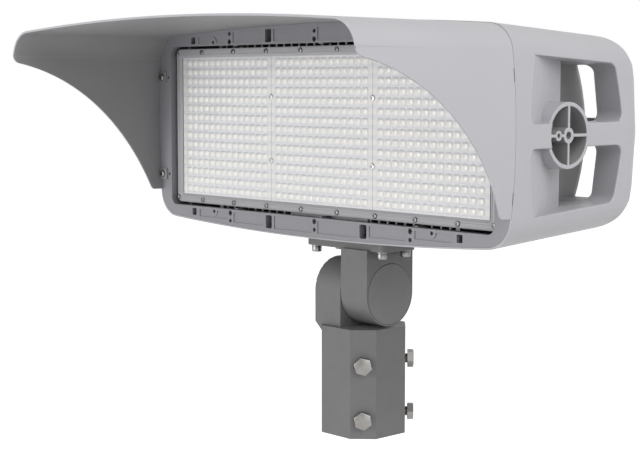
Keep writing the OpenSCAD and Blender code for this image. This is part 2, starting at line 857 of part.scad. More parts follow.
// Side view of the visor: everything above its lower edge
module visor_side() {
    c = visor_arc_centre;
    nose_y = visor_front + nose_r;
    nose_z = c[1] + sqrt(pow(visor_arc_r + nose_r, 2) - pow(nose_y - c[0], 2));
    heel_z = heel_r - visor_drop;
    heel_y = c[0] + sqrt(pow(visor_arc_r + heel_r, 2) - pow(heel_z - c[1], 2));
    nose_end = atan2(nose_z - c[1], nose_y - c[0]);
    heel_end = atan2(heel_z - c[1], heel_y - c[0]);
    polygon(concat(
        [[visor_front, half_height + 10]],
        arc([nose_y, nose_z], nose_r, 180, 180 + nose_end, 6),
        arc(c, visor_arc_r, nose_end, heel_end, 24),
        arc([heel_y, heel_z], heel_r, 180 + heel_end, 270, 6),
        [[visor_back, -visor_drop], [visor_back, half_height + 10]]));
}

module visor_tab() {
    tab_back = face_y - 0.05;
    inner = 236.5;
    block([inner, tab_back - visor_t, tab_z - tab_h / 2],
          [half_width - 1.6, tab_back, tab_z + tab_h / 2]);
}

module visor() {
    slit = 0.9;
    color(light_grey) at_head() difference() {
        union() {
            intersection() {
                along_y(visor_front - past, visor_back) polygon(outline(0));
                along_x(-half_width - past, half_width + past) visor_side();
            }
            left_right() top_bottom() visor_tab();
        }
        along_y(visor_front - 2 * past, face_y - visor_t - 0.05) polygon(outline(visor_t));
        intersection() {
            along_y(face_y - visor_t - 0.1, face_y) polygon(outline(visor_t));
            difference() {
                block([-half_width, face_y - 5, -half_height], [half_width, face_y, half_height]);
                left_right() top_bottom() visor_tab();
            }
        }
        left_right() top_bottom() {
            block([half_width - 3, visor_back - slit, tab_z - tab_h / 2],
                  [half_width + past, face_y, tab_z + tab_h / 2]);
            translate([visor_screw_x, 0, tab_z]) rod_y(face_y - 5, 0, visor_screw_r + hole_gap);
        }
    }
}

module visor_screws() {
    color(steel) at_head() left_right() top_bottom()
        translate([visor_screw_x, face_y - visor_t - 0.05, tab_z])
            pan_screw(3.9, 2.4, visor_screw_r, visor_t + 15);
}

// Driver box, its cover and what it holds
box_lip = 5;
cover_t = 3;
box_gasket_t = 1.5;
box_gasket_back = box_back + box_gasket_t;
box_screw_x = box_w / 2 - 4;
box_screw_z = box_h / 2 - 4;

module box_screw_places() {
    for (x = [-box_screw_x, 0, box_screw_x], s = [-1, 1])
        translate([x, 0, s * box_screw_z]) children();
}

module driver_box() {
    inner_w = box_w - 2 * box_wall;
    inner_h = box_h - 2 * box_wall;
    color(inner_metal) at_head() difference() {
        along_y(box_front, box_back) round_rect(box_w, box_h, 6);
        difference() {
            along_y(box_front + box_wall, box_back + past) round_rect(inner_w, inner_h, 4);
            box_screw_places() rod_y(box_front, box_back + 2 * past, 5);
        }
        box_screw_places() rod_y(box_back - 16, box_back + past, 2 + run_gap);
    }
}

module driver_cover_gasket() {
    color(black) at_head() difference() {
        along_y(box_back, box_gasket_back) round_rect(box_w, box_h, 6);
        along_y(box_back - past, box_gasket_back + past) round_rect(box_w - 18, box_h - 18, 4);
        box_screw_places() rod_y(box_back - past, box_gasket_back + past, 2 + hole_gap);
    }
}

// The cover's back follows the curve of the head's back
cover_curve_r = back_r - 2;
gland_at = [-52, -34];
gland_r = 8;
gland_af = 22;
breather_at = [52, -34];
breather_r = 6;
breather_cap_r = 9;

// Y of the flat pad of radius r on the curved cover at height z
function pad_y(z, r) = back_y - back_r + sqrt(pow(cover_curve_r, 2) - pow(abs(z) - r, 2)) + 0.5;
gland_pad_r = gland_af / 2 + 2.5;
breather_pad_r = breather_cap_r + 1;
gland_seat = pad_y(gland_at[1], gland_pad_r);
breather_seat = pad_y(breather_at[1], breather_pad_r);

module driver_cover() {
    color(light_grey) at_head() difference() {
        union() {
            intersection() {
                along_y(box_gasket_back, back_y) round_rect(box_w + 8, box_h + 4, 8);
                translate([0, back_y - back_r, 0])
                    rod_x(-half_width, half_width, cover_curve_r, $fn = 360);
            }
            translate([gland_at[0], 0, gland_at[1]]) rod_y(gland_seat - 6, gland_seat, gland_pad_r);
            translate([breather_at[0], 0, breather_at[1]])
                rod_y(breather_seat - 6, breather_seat, breather_pad_r);
        }
        intersection() {
            along_y(box_gasket_back - past, gland_seat - 6) round_rect(box_w - 22, box_h - 22, 4);
            translate([0, back_y - back_r, 0])
                rod_x(-half_width, half_width, cover_curve_r - cover_t, $fn = 360);
        }
        box_screw_places() {
            rod_y(box_back, back_y, 2 + hole_gap);
            rod_y(box_gasket_back + cover_t, back_y + past, 4);
        }
        translate([gland_at[0], 0, gland_at[1]]) rod_y(box_back, back_y + past, gland_r + hole_gap);
        translate([breather_at[0], 0, breather_at[1]])
            rod_y(box_back, back_y + past, breather_r + hole_gap);
    }
}

module driver_cover_screws() {
    color(steel) at_head() box_screw_places() translate([0, box_gasket_back + cover_t, 0])
        difference() {
            union() {
                rod_y(0, 3.2, 3.5);
                rod_y(-16, 0, 2);
            }
            rod_y(1.4, 4, 1.6);
        }
}

driver_w = 68;
driver_h = 96;
driver_d = 38;
module driver() {
    translate([driver_w / 2 + 3, box_front + box_wall, 0]) difference() {
        union() {
            along_y(0, driver_d) round_rect(driver_w, driver_h - 14, 3);
            along_y(0, 3) round_rect(driver_w * 0.5, driver_h, 3);
        }
        for (s = [-1, 1]) translate([0, 0, s * (driver_h / 2 - 3.5)]) rod_y(-past, 4, 2);
        for (x = [-3 : 3])
            block([x * 8 - 2, driver_d - 1.5, -driver_h / 2], [x * 8 + 2, driver_d + past, driver_h / 2]);
    }
}

module driver_right() { color("silver") at_head() driver(); }
module driver_left() { color("silver") at_head() mirror([1, 0, 0]) driver(); }

module surge_protector() {
    color("tomato") at_head() translate([-34, box_front + box_wall + driver_d, 22])
        along_y(0, 18) round_rect(46, 30, 4);
}

module terminal_block() {
    color("ivory") at_head() translate([34, box_front + box_wall + driver_d, 22]) difference() {
        along_y(0, 16) square([50, 22], center = true);
        for (i = [-2 : 2], s = [-1, 1]) translate([i * 9, 0, s * 5]) rod_y(10, 17, 2.4);
    }
}

module breather_valve() {
    color(black) at_head() translate([breather_at[0], breather_seat, breather_at[1]]) {
        rod_y(-10, 1, breather_r);
        difference() {
            rod_y(0, 4.5, breather_cap_r);
            for (a = [0 : 45 : 315]) rotate([0, a, 0])
                block([breather_cap_r - 1.4, 1.2, -0.8], [breather_cap_r + past, 3.4, 0.8]);
        }
    }
}

module cable_gland() {
    color(black) at_head() translate([gland_at[0], gland_seat, gland_at[1]]) difference() {
        union() {
            rod_y(-12, 1, gland_r);
            rotate([-90, 0, 0]) hex(gland_af, 6);
            rod_y(5, 16, gland_af / 2 - 1.4);
        }
        rod_y(-12 - past, 16 + past, gland_r / 2);
    }
}

module cover_screws() {
    color(steel) at_head() left_right() top_bottom() for (y = cover_screw_y)
        translate([cover_screw_x, y, 0]) difference() {
            cover_screw_space(y, 0);
            translate([0, 0, top_z(cover_screw_x, y) - 0.6 - 1.4]) hex(2.5, 3);
        }
}

module frame_screws() {
    color(steel) at_head() left_right() for (z = [-1, 1])
        translate([0, frame_screw_y, z * frame_screw_z]) difference() {
            union() {
                rod_x(core_wall_x, core_wall_x + 3, 4.5);
                rod_x(core_wall_x - 12, core_wall_x, frame_screw_r);
            }
            rod_x(core_wall_x + 1.4, core_wall_x + 4, 1.8);
        }
}

// Knuckle: the upper half with its flange turns on the pivot bolt of the slip fitter
flange_screw_r = 3;
cap_r = 30.5;
cap_t = 2.5;
cap_proud = 0.4;
outer_x = half_gap / 2 + half_w;
bolt_seat_x = 24;
pivot_washer_t = 2.5;
pivot_head_t = 7.5;

// Side view of a knuckle half: a round end at the axis with straight sides up or down to z
module knuckle_side(z) {
    circle(r = knuckle_r, $fn = 128);
    translate([-knuckle_r, min(z, 0)]) square([2 * knuckle_r, abs(z)]);
}

module knuckle_upper() {
    top = 44.7;
    color(dark_grey) at_axis() difference() {
        union() {
            along_x(half_gap / 2, outer_x) knuckle_side(top + 1);
            translate([0, flange_centre_y - axis_back, 0]) along_z(top, top + flange_t)
                round_rect(flange_w, flange_d, 6);
        }
        rod_x(-past, outer_x, pivot_d / 2 + run_gap);
        rod_x(bolt_seat_x, outer_x + past, 12.6);
        rod_x(outer_x - cap_t, outer_x + past, cap_r + slip_gap);
        for (x = [-1, 1], y = [-1, 1])
            translate([x * flange_hole_x, flange_centre_y - axis_back + y * flange_hole_y, top - past])
                cylinder(r = flange_screw_r + hole_gap, h = flange_t + 2 * past);
    }
}

module knuckle_gasket() {
    color(black) at_head() translate([0, flange_centre_y, -pad_under - 1.5]) difference() {
        along_z(0, 1.5) round_rect(2 * pad_half_x, pad_back - pad_front, 4);
        for (x = [-1, 1], y = [-1, 1]) translate([x * flange_hole_x, y * flange_hole_y, -past])
            cylinder(r = flange_screw_r + hole_gap, h = 4);
    }
}

washer_t = 1.2;
module flange_places() {
    at_head() for (x = [-1, 1], y = [-1, 1])
        translate([x * flange_hole_x, flange_centre_y + y * flange_hole_y, -flange_under]) children();
}

module flange_screws() {
    color(steel) flange_places() difference() {
        union() {
            translate([0, 0, -washer_t - 6]) cylinder(r = 5, h = 6);
            translate([0, 0, -washer_t]) cylinder(r = flange_screw_r, h = washer_t + flange_t + 12);
        }
        translate([0, 0, -washer_t - 6 - past]) hex(5, 4);
    }
}

module flange_washers() {
    color(steel) flange_places() translate([0, 0, -washer_t]) difference() {
        cylinder(r = 5.5, h = washer_t);
        translate([0, 0, -past]) cylinder(r = flange_screw_r + hole_gap, h = washer_t + 2 * past);
    }
}

module pivot_cap() {
    color(dark_grey) at_axis() rod_x(outer_x - cap_t, outer_x + cap_proud, cap_r);
}

// Slip fitter: the lower half of the knuckle on an eight-sided socket
socket_top = axis_h - 34;
lead_foot = socket_top - 7.1;
nut_depth = 12;
chamfer_face = (socket_w - socket_cut) / sqrt(2);
function socket_points() =
    let (a = socket_w / 2, b = a - socket_cut)
    [[a, b], [b, a], [-b, a], [-a, b], [-a, -b], [-b, -a], [b, -a], [a, -b]];

// Wedges that lead the knuckle half's square corners into the socket's cut corners
module corner_lead() {
    out = (outer_x + knuckle_r) / sqrt(2);
    for (a = [135, 225]) rotate([0, 0, a]) rotate([90, 0, 0]) translate([0, 0, -60])
        linear_extrude(120) polygon([[chamfer_face, lead_foot - past], [chamfer_face, lead_foot],
                                     [out, lead_foot + 8.9], [out + 40, lead_foot + 8.9],
                                     [out + 40, lead_foot - past]]);
}

module slip_fitter() {
    notch_r = knuckle_r - 0.7;
    color(dark_grey) difference() {
        union() {
            linear_extrude(socket_top) polygon(socket_points());
            difference() {
                at_axis() along_x(-outer_x, -half_gap / 2) knuckle_side(lead_foot - axis_h);
                corner_lead();
            }
        }
        translate([0, 0, -past]) cylinder(r = socket_bore / 2, h = socket_depth + past, $fn = 128);
        at_axis() {
            rod_x(-outer_x - past, 0, pivot_d / 2 + hole_gap);
            translate([-outer_x - past, 0, 0]) rotate([0, 90, 0]) hex(19 + 2 * slip_gap, nut_depth + past);
            for (a = [-75 : 15 : 75]) rotate([a, 0, 0])
                block([-outer_x - past, -0.6, notch_r], [4 - outer_x, 0.6, knuckle_r + past]);
        }
        for (z = clamp_z, a = [-45, 45]) rotate([0, 0, a]) translate([0, 0, z])
            rod_x(socket_bore / 2 - 3, chamfer_face + past, clamp_d / 2 + run_gap);
    }
}

module pivot_bolt() {
    head_x = bolt_seat_x + pivot_washer_t + 2 * run_gap;
    color(steel) at_axis() {
        rod_x(half_gap - outer_x, head_x + past, pivot_d / 2);
        translate([head_x, 0, 0]) rotate([0, 90, 0]) hex(18, pivot_head_t);
    }
}

module pivot_washer() {
    color(steel) at_axis() difference() {
        rod_x(bolt_seat_x + run_gap, bolt_seat_x + run_gap + pivot_washer_t, 12);
        rod_x(bolt_seat_x - past, bolt_seat_x + pivot_washer_t + past, pivot_d / 2 + hole_gap);
    }
}

module pivot_nut() {
    nut_t = 10;
    color(steel) at_axis() translate([nut_depth - outer_x - nut_t, 0, 0]) difference() {
        rotate([0, 90, 0]) hex(19, nut_t);
        rod_x(-past, nut_t + past, pivot_d / 2 + run_gap);
    }
}

// Clamp bolts: two at the front corner and two at the back corner of the right side
clamp_head_t = 6.4;
clamp_shank = 13;
clamp_turn = [9, 24, 15, 40];
module clamp_bolt(i) {
    seat = chamfer_face + clamp_gap;
    color(steel) rotate([0, 0, i % 2 == 0 ? -45 : 45]) translate([seat, 0, clamp_z[floor(i / 2)]]) {
        rotate([0, 90, 0]) rotate([0, 0, clamp_turn[i]]) hex(16, clamp_head_t);
        rod_x(-clamp_shank, 0.5, clamp_d / 2);
    }
}

module clamp_bolt_1() { clamp_bolt(0); }
module clamp_bolt_2() { clamp_bolt(1); }
module clamp_bolt_3() { clamp_bolt(2); }
module clamp_bolt_4() { clamp_bolt(3); }

top_cover();
bottom_cover();
end_frame_right();
end_frame_left();
grip_panel_right();
grip_panel_left();
front_bezel();
heat_sink_plate();
heat_sink_fins();
led_board_1();
led_board_2();
led_board_3();
lens_1();
lens_2();
lens_3();
lens_frame();
lens_gasket();
lens_frame_screws();
lens_seam_screws();
bezel_screws();
visor();
visor_screws();
driver_box();
driver_cover();
driver_cover_gasket();
driver_cover_screws();
driver_right();
driver_left();
surge_protector();
terminal_block();
breather_valve();
cable_gland();
cover_screws();
frame_screws();
knuckle_upper();
knuckle_gasket();
flange_screws();
flange_washers();
pivot_cap();
slip_fitter();
pivot_bolt();
pivot_washer();
pivot_nut();
clamp_bolt_1();
clamp_bolt_2();
clamp_bolt_3();
clamp_bolt_4();
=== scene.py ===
"""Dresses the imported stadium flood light: powder-coated housing, visor, lens array and knuckle."""
import logging
import math
from collections.abc import Callable, Iterable, Sequence
from dataclasses import dataclass, field
from enum import Enum
from functools import cache

import bmesh
import bpy
from mathutils import Matrix, Vector


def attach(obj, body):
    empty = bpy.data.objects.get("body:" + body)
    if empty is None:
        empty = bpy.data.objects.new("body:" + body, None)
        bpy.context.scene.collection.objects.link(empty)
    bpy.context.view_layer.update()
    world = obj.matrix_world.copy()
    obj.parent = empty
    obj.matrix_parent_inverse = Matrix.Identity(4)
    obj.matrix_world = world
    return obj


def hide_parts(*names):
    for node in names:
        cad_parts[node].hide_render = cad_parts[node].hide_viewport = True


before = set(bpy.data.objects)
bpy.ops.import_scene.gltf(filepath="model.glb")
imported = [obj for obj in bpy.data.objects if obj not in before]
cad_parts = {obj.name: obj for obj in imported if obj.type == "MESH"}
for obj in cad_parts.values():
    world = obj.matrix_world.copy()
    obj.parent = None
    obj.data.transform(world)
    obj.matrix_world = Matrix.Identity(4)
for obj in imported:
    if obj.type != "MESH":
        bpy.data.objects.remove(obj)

LOG = logging.getLogger("flood_light")
Pair = tuple[float, float]
Triple = tuple[float, float, float]
Test = Callable[[Vector], bool]
Four = tuple[float, float, float, float]
Warp = Callable[[int, float, float], float]
BMesh = bmesh.types.BMesh
Ring = list[bmesh.types.BMVert]
Socket = bpy.types.NodeSocket
MM = 0.001
AT_AXIS = 1e-6
# What a noise value mostly stays between
NOISE: Pair = (0.3, 0.7)
# Heights of the tilt axis over the pole socket's mouth and of the head's middle over that axis,
# and how far the axis lies behind the lens frame's face, in millimetres
AXIS_H = 143.7
HEAD_LIFT = 163.0
AXIS_BACK = 62.3
TO_ROW = Matrix.Scale(MM, 4)
TO_AXIS = Matrix.Translation((0, 0, AXIS_H * MM)) @ TO_ROW
TO_HEAD = Matrix.Translation((0, -AXIS_BACK * MM, (AXIS_H + HEAD_LIFT) * MM)) @ TO_ROW
FORWARD: Triple = (0.0, -1.0, 0.0)
BACKWARD: Triple = (0.0, 1.0, 0.0)
DOWN: Triple = (0.0, 0.0, -1.0)
SIDES = (-1, 1)
CORNERS = tuple((sx, sz) for sx in SIDES for sz in SIDES)


# ---------------------------------------------------------------- node groups and finishes

def plug(tree: bpy.types.NodeTree, node: bpy.types.Node, inputs: dict) -> None:
    """Sets or links a node's inputs.

    Args:
        tree: Tree that the node is in.
        node: The node.
        inputs: What goes in, a value or a socket, by the input's name or number.
    """
    for key, value in inputs.items():
        if isinstance(value, Socket):
            tree.links.new(value, node.inputs[key])
        elif value is not None:
            node.inputs[key].default_value = value


class NodeGroup:
    """A node group with named inputs and outputs."""

    def __init__(self, name: str, kind: str, inputs: dict[str, tuple[str, object]],
                 outputs: dict[str, str]) -> None:
        """Makes the group's sockets.

        Args:
            name: Name of the group.
            kind: Shader or Geometry.
            inputs: Each input's kind of socket and its value at first, or None, by name.
            outputs: Each output's kind of socket by name.
        """
        self.tree = bpy.data.node_groups.new(name, kind + "NodeTree")
        self.keys: dict[str, str] = {}
        face = self.tree.interface
        for key, (sort, value) in inputs.items():
            socket = face.new_socket(key, in_out="INPUT", socket_type="NodeSocket" + sort)
            if value is not None:
                socket.default_value = value
            self.keys[key] = socket.identifier
        for key, sort in outputs.items():
            face.new_socket(key, in_out="OUTPUT", socket_type="NodeSocket" + sort)
        self.start = self.tree.nodes.new("NodeGroupInput")
        self.end = self.tree.nodes.new("NodeGroupOutput")

    def value(self, key: str) -> Socket:
        """Returns the socket of an input by its name."""
        return self.start.outputs[key]

    def add(self, kind: str, inputs: dict | None = None, out: int | str = 0,
            **settings: object) -> Socket:
        """Adds a node.

        Args:
            kind: Type of the node.
            inputs: What goes in, by name or number.
            out: Output that is returned.
            settings: Properties of the node.

        Returns:
            The socket of the output.
        """
        node = self.tree.nodes.new(kind)
        for key, value in settings.items():
            setattr(node, key, value)
        plug(self.tree, node, inputs or {})
        return node.outputs[out]

    def math(self, kind: str, *terms: object) -> Socket:
        """Adds a Math node on numbers or sockets and returns its output."""
        return self.add("ShaderNodeMath", dict(enumerate(terms)), operation=kind)


class ShaderGroup(NodeGroup):
    """A shader group that makes numbers from Object coordinates."""

    def __init__(self, name: str, inputs: dict[str, float], *outputs: str) -> None:
        """Starts the group.

        Args:
            name: Name of the group.
            inputs: Each input value's name and what it is at first.
            outputs: Names of the output values.
        """
        super().__init__(name, "Shader", {key: ("Float", value) for key, value in inputs.items()},
                         dict.fromkeys(outputs, "Float"))
        self.place = self.add("ShaderNodeTexCoord", out="Object")

    def noise(self, scale: object, detail: float = 2.0, stretch: Triple = (1, 1, 1)
              ) -> Socket:
        """Adds a noise.

        Args:
            scale: Its scale, a number or a socket.
            detail: How many finer layers it has.
            stretch: Scale of the coordinates along X, Y and Z.

        Returns:
            The noise value's socket.
        """
        source = self.place
        if stretch != (1, 1, 1):
            source = self.add("ShaderNodeMapping", {"Vector": source, "Scale": stretch})
        return self.add("ShaderNodeTexNoise", {"Vector": source, "Scale": scale, "Detail": detail})

    def finish(self, **outputs: Socket) -> bpy.types.NodeTree:
        """Links the outputs, given by name, and returns the group's tree."""
        plug(self.tree, self.end, outputs)
        return self.tree


@cache
def coat_grain() -> bpy.types.NodeTree:
    """Builds the fine dimples of powder coat, with slow changes of tone and gloss.

    Returns:
        The group's tree.
    """
    group = ShaderGroup("coat_grain", {"Grain": 0.0011, "Waviness": 0.3}, "Height", "Tone", "Gloss")
    dimples = group.noise(group.math("DIVIDE", 1.0, group.value("Grain")), 1.0)
    waves = group.math("MULTIPLY", group.noise(38.0, 1.0), group.value("Waviness"))
    return group.finish(Height=group.math("ADD", dimples, waves), Tone=group.noise(7.0, 3.0),
                        Gloss=group.noise(140.0, 3.0))


@cache
def cast_skin() -> bpy.types.NodeTree:
    """Builds the pitted, slightly uneven skin of a casting.

    Returns:
        The group's tree.
    """
    group = ShaderGroup("cast_skin", {"Pit size": 0.002}, "Height", "Tone")
    scale = group.math("DIVIDE", 1.0, group.value("Pit size"))
    lumps = group.noise(group.math("MULTIPLY", scale, 0.12), 2.0)
    height = group.math("ADD", group.noise(scale, 4.0), group.math("MULTIPLY", lumps, 1.4))
    return group.finish(Height=height, Tone=group.noise(26.0, 4.0))


@cache
def machining() -> bpy.types.NodeTree:
    """Builds the fine streaks of turned and rolled metal.

    Returns:
        The group's tree.
    """
    group = ShaderGroup("machining", {"Spacing": 0.0004}, "Height", "Tone")
    scale = group.math("DIVIDE", 1.0, group.value("Spacing"))
    return group.finish(Height=group.noise(scale, 2.0, (1.0, 1.0, 0.08)),
                        Tone=group.noise(group.math("MULTIPLY", scale, 0.1), 3.0))


@cache
def dust_film() -> bpy.types.NodeTree:
    """Builds a thin film of dust that lies on what faces upwards.

    Returns:
        The group's tree.
    """
    group = ShaderGroup("dust_film", {"Amount": 0.1}, "Mask")
    normal = group.add("ShaderNodeNewGeometry", out="Normal")
    up = group.math("MAXIMUM", group.add("ShaderNodeSeparateXYZ", {0: normal}, 2), 0.0)
    patchy = group.math("MULTIPLY", up, group.noise(19.0, 5.0))
    return group.finish(Mask=group.math("MULTIPLY", patchy, group.value("Amount")))


@cache
def row_bands() -> bpy.types.NodeTree:
    """Builds bands along the rows of domes, light over the chips and dark between them.

    Returns:
        The group's tree.
    """
    group = ShaderGroup("row_bands", {"Pitch": 0.0096, "Middle": 0.3067}, "Mask")
    height = group.add("ShaderNodeSeparateXYZ", {0: group.place}, 2)
    turns = group.math("DIVIDE", group.math("SUBTRACT", height, group.value("Middle")),
                       group.value("Pitch"))
    part = group.math("FRACT", group.math("ADD", turns, 0.5))
    away = group.math("ABSOLUTE", group.math("SUBTRACT", part, 0.5))
    return group.finish(Mask=group.math("SUBTRACT", 1.0, group.math("MULTIPLY", away, 2.0)))


class Surface:
    """A material being built round one Principled BSDF."""

    dust_colour = (0.62, 0.6, 0.56, 1.0)

    def __init__(self, name: str, colour: Triple, roughness: float, metallic: float = 0.0) -> None:
        """Starts the material.

        Args:
            name: Name of the material.
            colour: Its base colour, linear.
            roughness: Its mean roughness.
            metallic: 1 for bare metal.
        """
        self.material = bpy.data.materials.new(name)
        self.material.use_nodes = True
        self.material.diffuse_color = (*colour, 1.0)
        self.tree = self.material.node_tree
        self.shader = self.tree.nodes["Principled BSDF"]
        self.colour = colour
        self.roughness = roughness
        self.feed({"Base Color": (*colour, 1.0), "Roughness": roughness, "Metallic": metallic})

    def feed(self, inputs: dict) -> None:
        """Sets or links the shader's inputs by name."""
        plug(self.tree, self.shader, inputs)

    def group(self, maker: Callable[[], bpy.types.NodeTree], **values: float) -> bpy.types.Node:
        """Places a shared group.

        Args:
            maker: Function that builds the group.
            values: Its inputs, with underscores for spaces.

        Returns:
            The group node.
        """
        node = self.tree.nodes.new("ShaderNodeGroup")
        node.node_tree = maker()
        plug(self.tree, node, {key.replace("_", " "): value for key, value in values.items()})
        return node

    def ramp(self, factor: Socket, low: float, high: float) -> Socket:
        """Maps a noise value onto a range.

        Args:
            factor: Noise value about 0.5.
            low: Result where the noise is 0.3.
            high: Result where the noise is 0.7.

        Returns:
            The mapped value's socket.
        """
        node = self.tree.nodes.new("ShaderNodeMapRange")
        plug(self.tree, node, {"Value": factor, "From Min": NOISE[0], "From Max": NOISE[1],
                               "To Min": low, "To Max": high})
        return node.outputs[0]

    def blend(self, factor: Socket, low: object, high: object) -> Socket:
        """Blends two colours.

        Args:
            factor: Socket of the second colour's share.
            low: First colour, a value or a socket.
            high: Second colour, the same.

        Returns:
            The blended colour's socket.
        """
        node = self.tree.nodes.new("ShaderNodeMix")
        node.data_type = "RGBA"
        plug(self.tree, node, {0: factor, 6: low, 7: high})
        return node.outputs[2]

    def tint(self, factor: Socket, spread: float, dust: float = 0.0) -> None:
        """Varies the base colour over the surface.

        Args:
            factor: Noise value that drives it.
            spread: Change of the colour each way, as a share.
            dust: Amount of dust on what faces upwards.
        """
        dark = tuple(c * (1 - spread) for c in self.colour)
        light = tuple(min(c * (1 + spread), 1.0) for c in self.colour)
        colour = self.blend(self.ramp(factor, 0.0, 1.0), (*dark, 1.0), (*light, 1.0))
        if dust:
            mask = self.group(dust_film, Amount=dust).outputs["Mask"]
            colour = self.blend(mask, colour, self.dust_colour)
        self.feed({"Base Color": colour})

    def shine(self, factor: Socket, spread: float) -> None:
        """Varies the roughness by a noise value, each way by spread."""
        low, high = self.roughness - spread, self.roughness + spread
        self.feed({"Roughness": self.ramp(factor, low, high)})

    def bump(self, height: Socket, depth: float) -> None:
        """Adds a bump.

        Args:
            height: Socket of its height, about 0 to 1.
            depth: Real depth in metres.
        """
        node = self.tree.nodes.new("ShaderNodeBump")
        plug(self.tree, node, {"Height": height, "Distance": depth, "Strength": 1.0})
        self.feed({"Normal": node.outputs[0]})


@dataclass(frozen=True)
class Grained:
    """A smooth finish with fine dimples."""

    name: str
    colour: Triple
    roughness: float = 0.46
    grain: float = 0.0012
    depth: float = 0.00003
    spread: float = 0.02
    dust: float = 0.1
    gloss: float = 0.04
    coat: float = 0.0
    coat_roughness: float = 0.08

    def make(self) -> bpy.types.Material:
        """Makes the finish's material.

        Returns:
            The material.
        """
        surface = Surface(self.name, self.colour, self.roughness)
        grain = surface.group(coat_grain, Grain=self.grain)
        surface.tint(grain.outputs["Tone"], self.spread, self.dust)
        surface.shine(grain.outputs["Gloss"], self.gloss)
        surface.bump(grain.outputs["Height"], self.depth)
        if self.coat:
            surface.feed({"Coat Weight": self.coat, "Coat Roughness": self.coat_roughness})
        return surface.material


@dataclass(frozen=True)
class PowderCoat(Grained):
    """Satin powder coat on aluminium."""


@dataclass(frozen=True)
class Plastic(Grained):
    """Moulded plastic, rubber, solder mask or phosphor."""

    roughness: float = 0.5
    grain: float = 0.0009
    spread: float = 0.04
    dust: float = 0.0
    gloss: float = 0.05


@dataclass(frozen=True)
class CoatedCasting:
    """Powder coat over the uneven skin of a casting."""

    name: str
    colour: Triple
    roughness: float = 0.5
    pit: float = 0.0022
    depth: float = 0.00007
    grain: float = 0.0012
    spread: float = 0.05
    dust: float = 0.12
    gloss: float = 0.06

    def make(self) -> bpy.types.Material:
        """Makes the finish's material.

        Returns:
            The material.
        """
        surface = Surface(self.name, self.colour, self.roughness)
        pits = surface.group(cast_skin, Pit_size=self.pit)
        grain = surface.group(coat_grain, Grain=self.grain)
        surface.tint(pits.outputs["Tone"], self.spread, self.dust)
        surface.shine(grain.outputs["Gloss"], self.gloss)
        surface.bump(pits.outputs["Height"], self.depth)
        return surface.material


@dataclass(frozen=True)
class BareMetal:
    """Bare metal, cast or turned."""

    name: str
    colour: Triple
    roughness: float = 0.3
    cast: bool = False
    spread: float = 0.08
    gloss: float = 0.07

    def make(self) -> bpy.types.Material:
        """Makes the finish's material.

        Returns:
            The material.
        """
        surface = Surface(self.name, self.colour, self.roughness, 1.0)
        if self.cast:
            marks, depth = surface.group(cast_skin, Pit_size=0.0016), 0.00006
        else:
            marks, depth = surface.group(machining, Spacing=0.0005), 0.00001
        surface.tint(marks.outputs["Tone"], self.spread)
        surface.shine(marks.outputs["Tone"], self.gloss)
        surface.bump(marks.outputs["Height"], depth)
        return surface.material


@dataclass(frozen=True)
class LensPlastic:
    """Clear moulded plastic, frosted on its back, over the white boards."""

    name: str
    colour: Triple
    shade: Triple
    cover: float = 0.94
    roughness: float = 0.16
    gloss: float = 0.03
    grain: float = 0.004
    waviness: float = 0.6
    depth: float = 0.00004
    ior: float = 1.49
    coat: float = 0.4
    coat_roughness: float = 0.05

    def make(self) -> bpy.types.Material:
        """Makes the finish's material.

        Returns:
            The material.
        """
        surface = Surface(self.name, self.colour, self.roughness)
        grain = surface.group(coat_grain, Grain=self.grain, Waviness=self.waviness)
        bands = surface.ramp(surface.group(row_bands).outputs["Mask"], 0.0, 1.0)
        surface.feed({"Base Color": surface.blend(bands, (*self.shade, 1.0), (*self.colour, 1.0)),
                      "Alpha": self.cover, "IOR": self.ior, "Coat Weight": self.coat,
                      "Coat Roughness": self.coat_roughness})
        surface.shine(grain.outputs["Gloss"], self.gloss)
        surface.bump(grain.outputs["Height"], self.depth)
        return surface.material


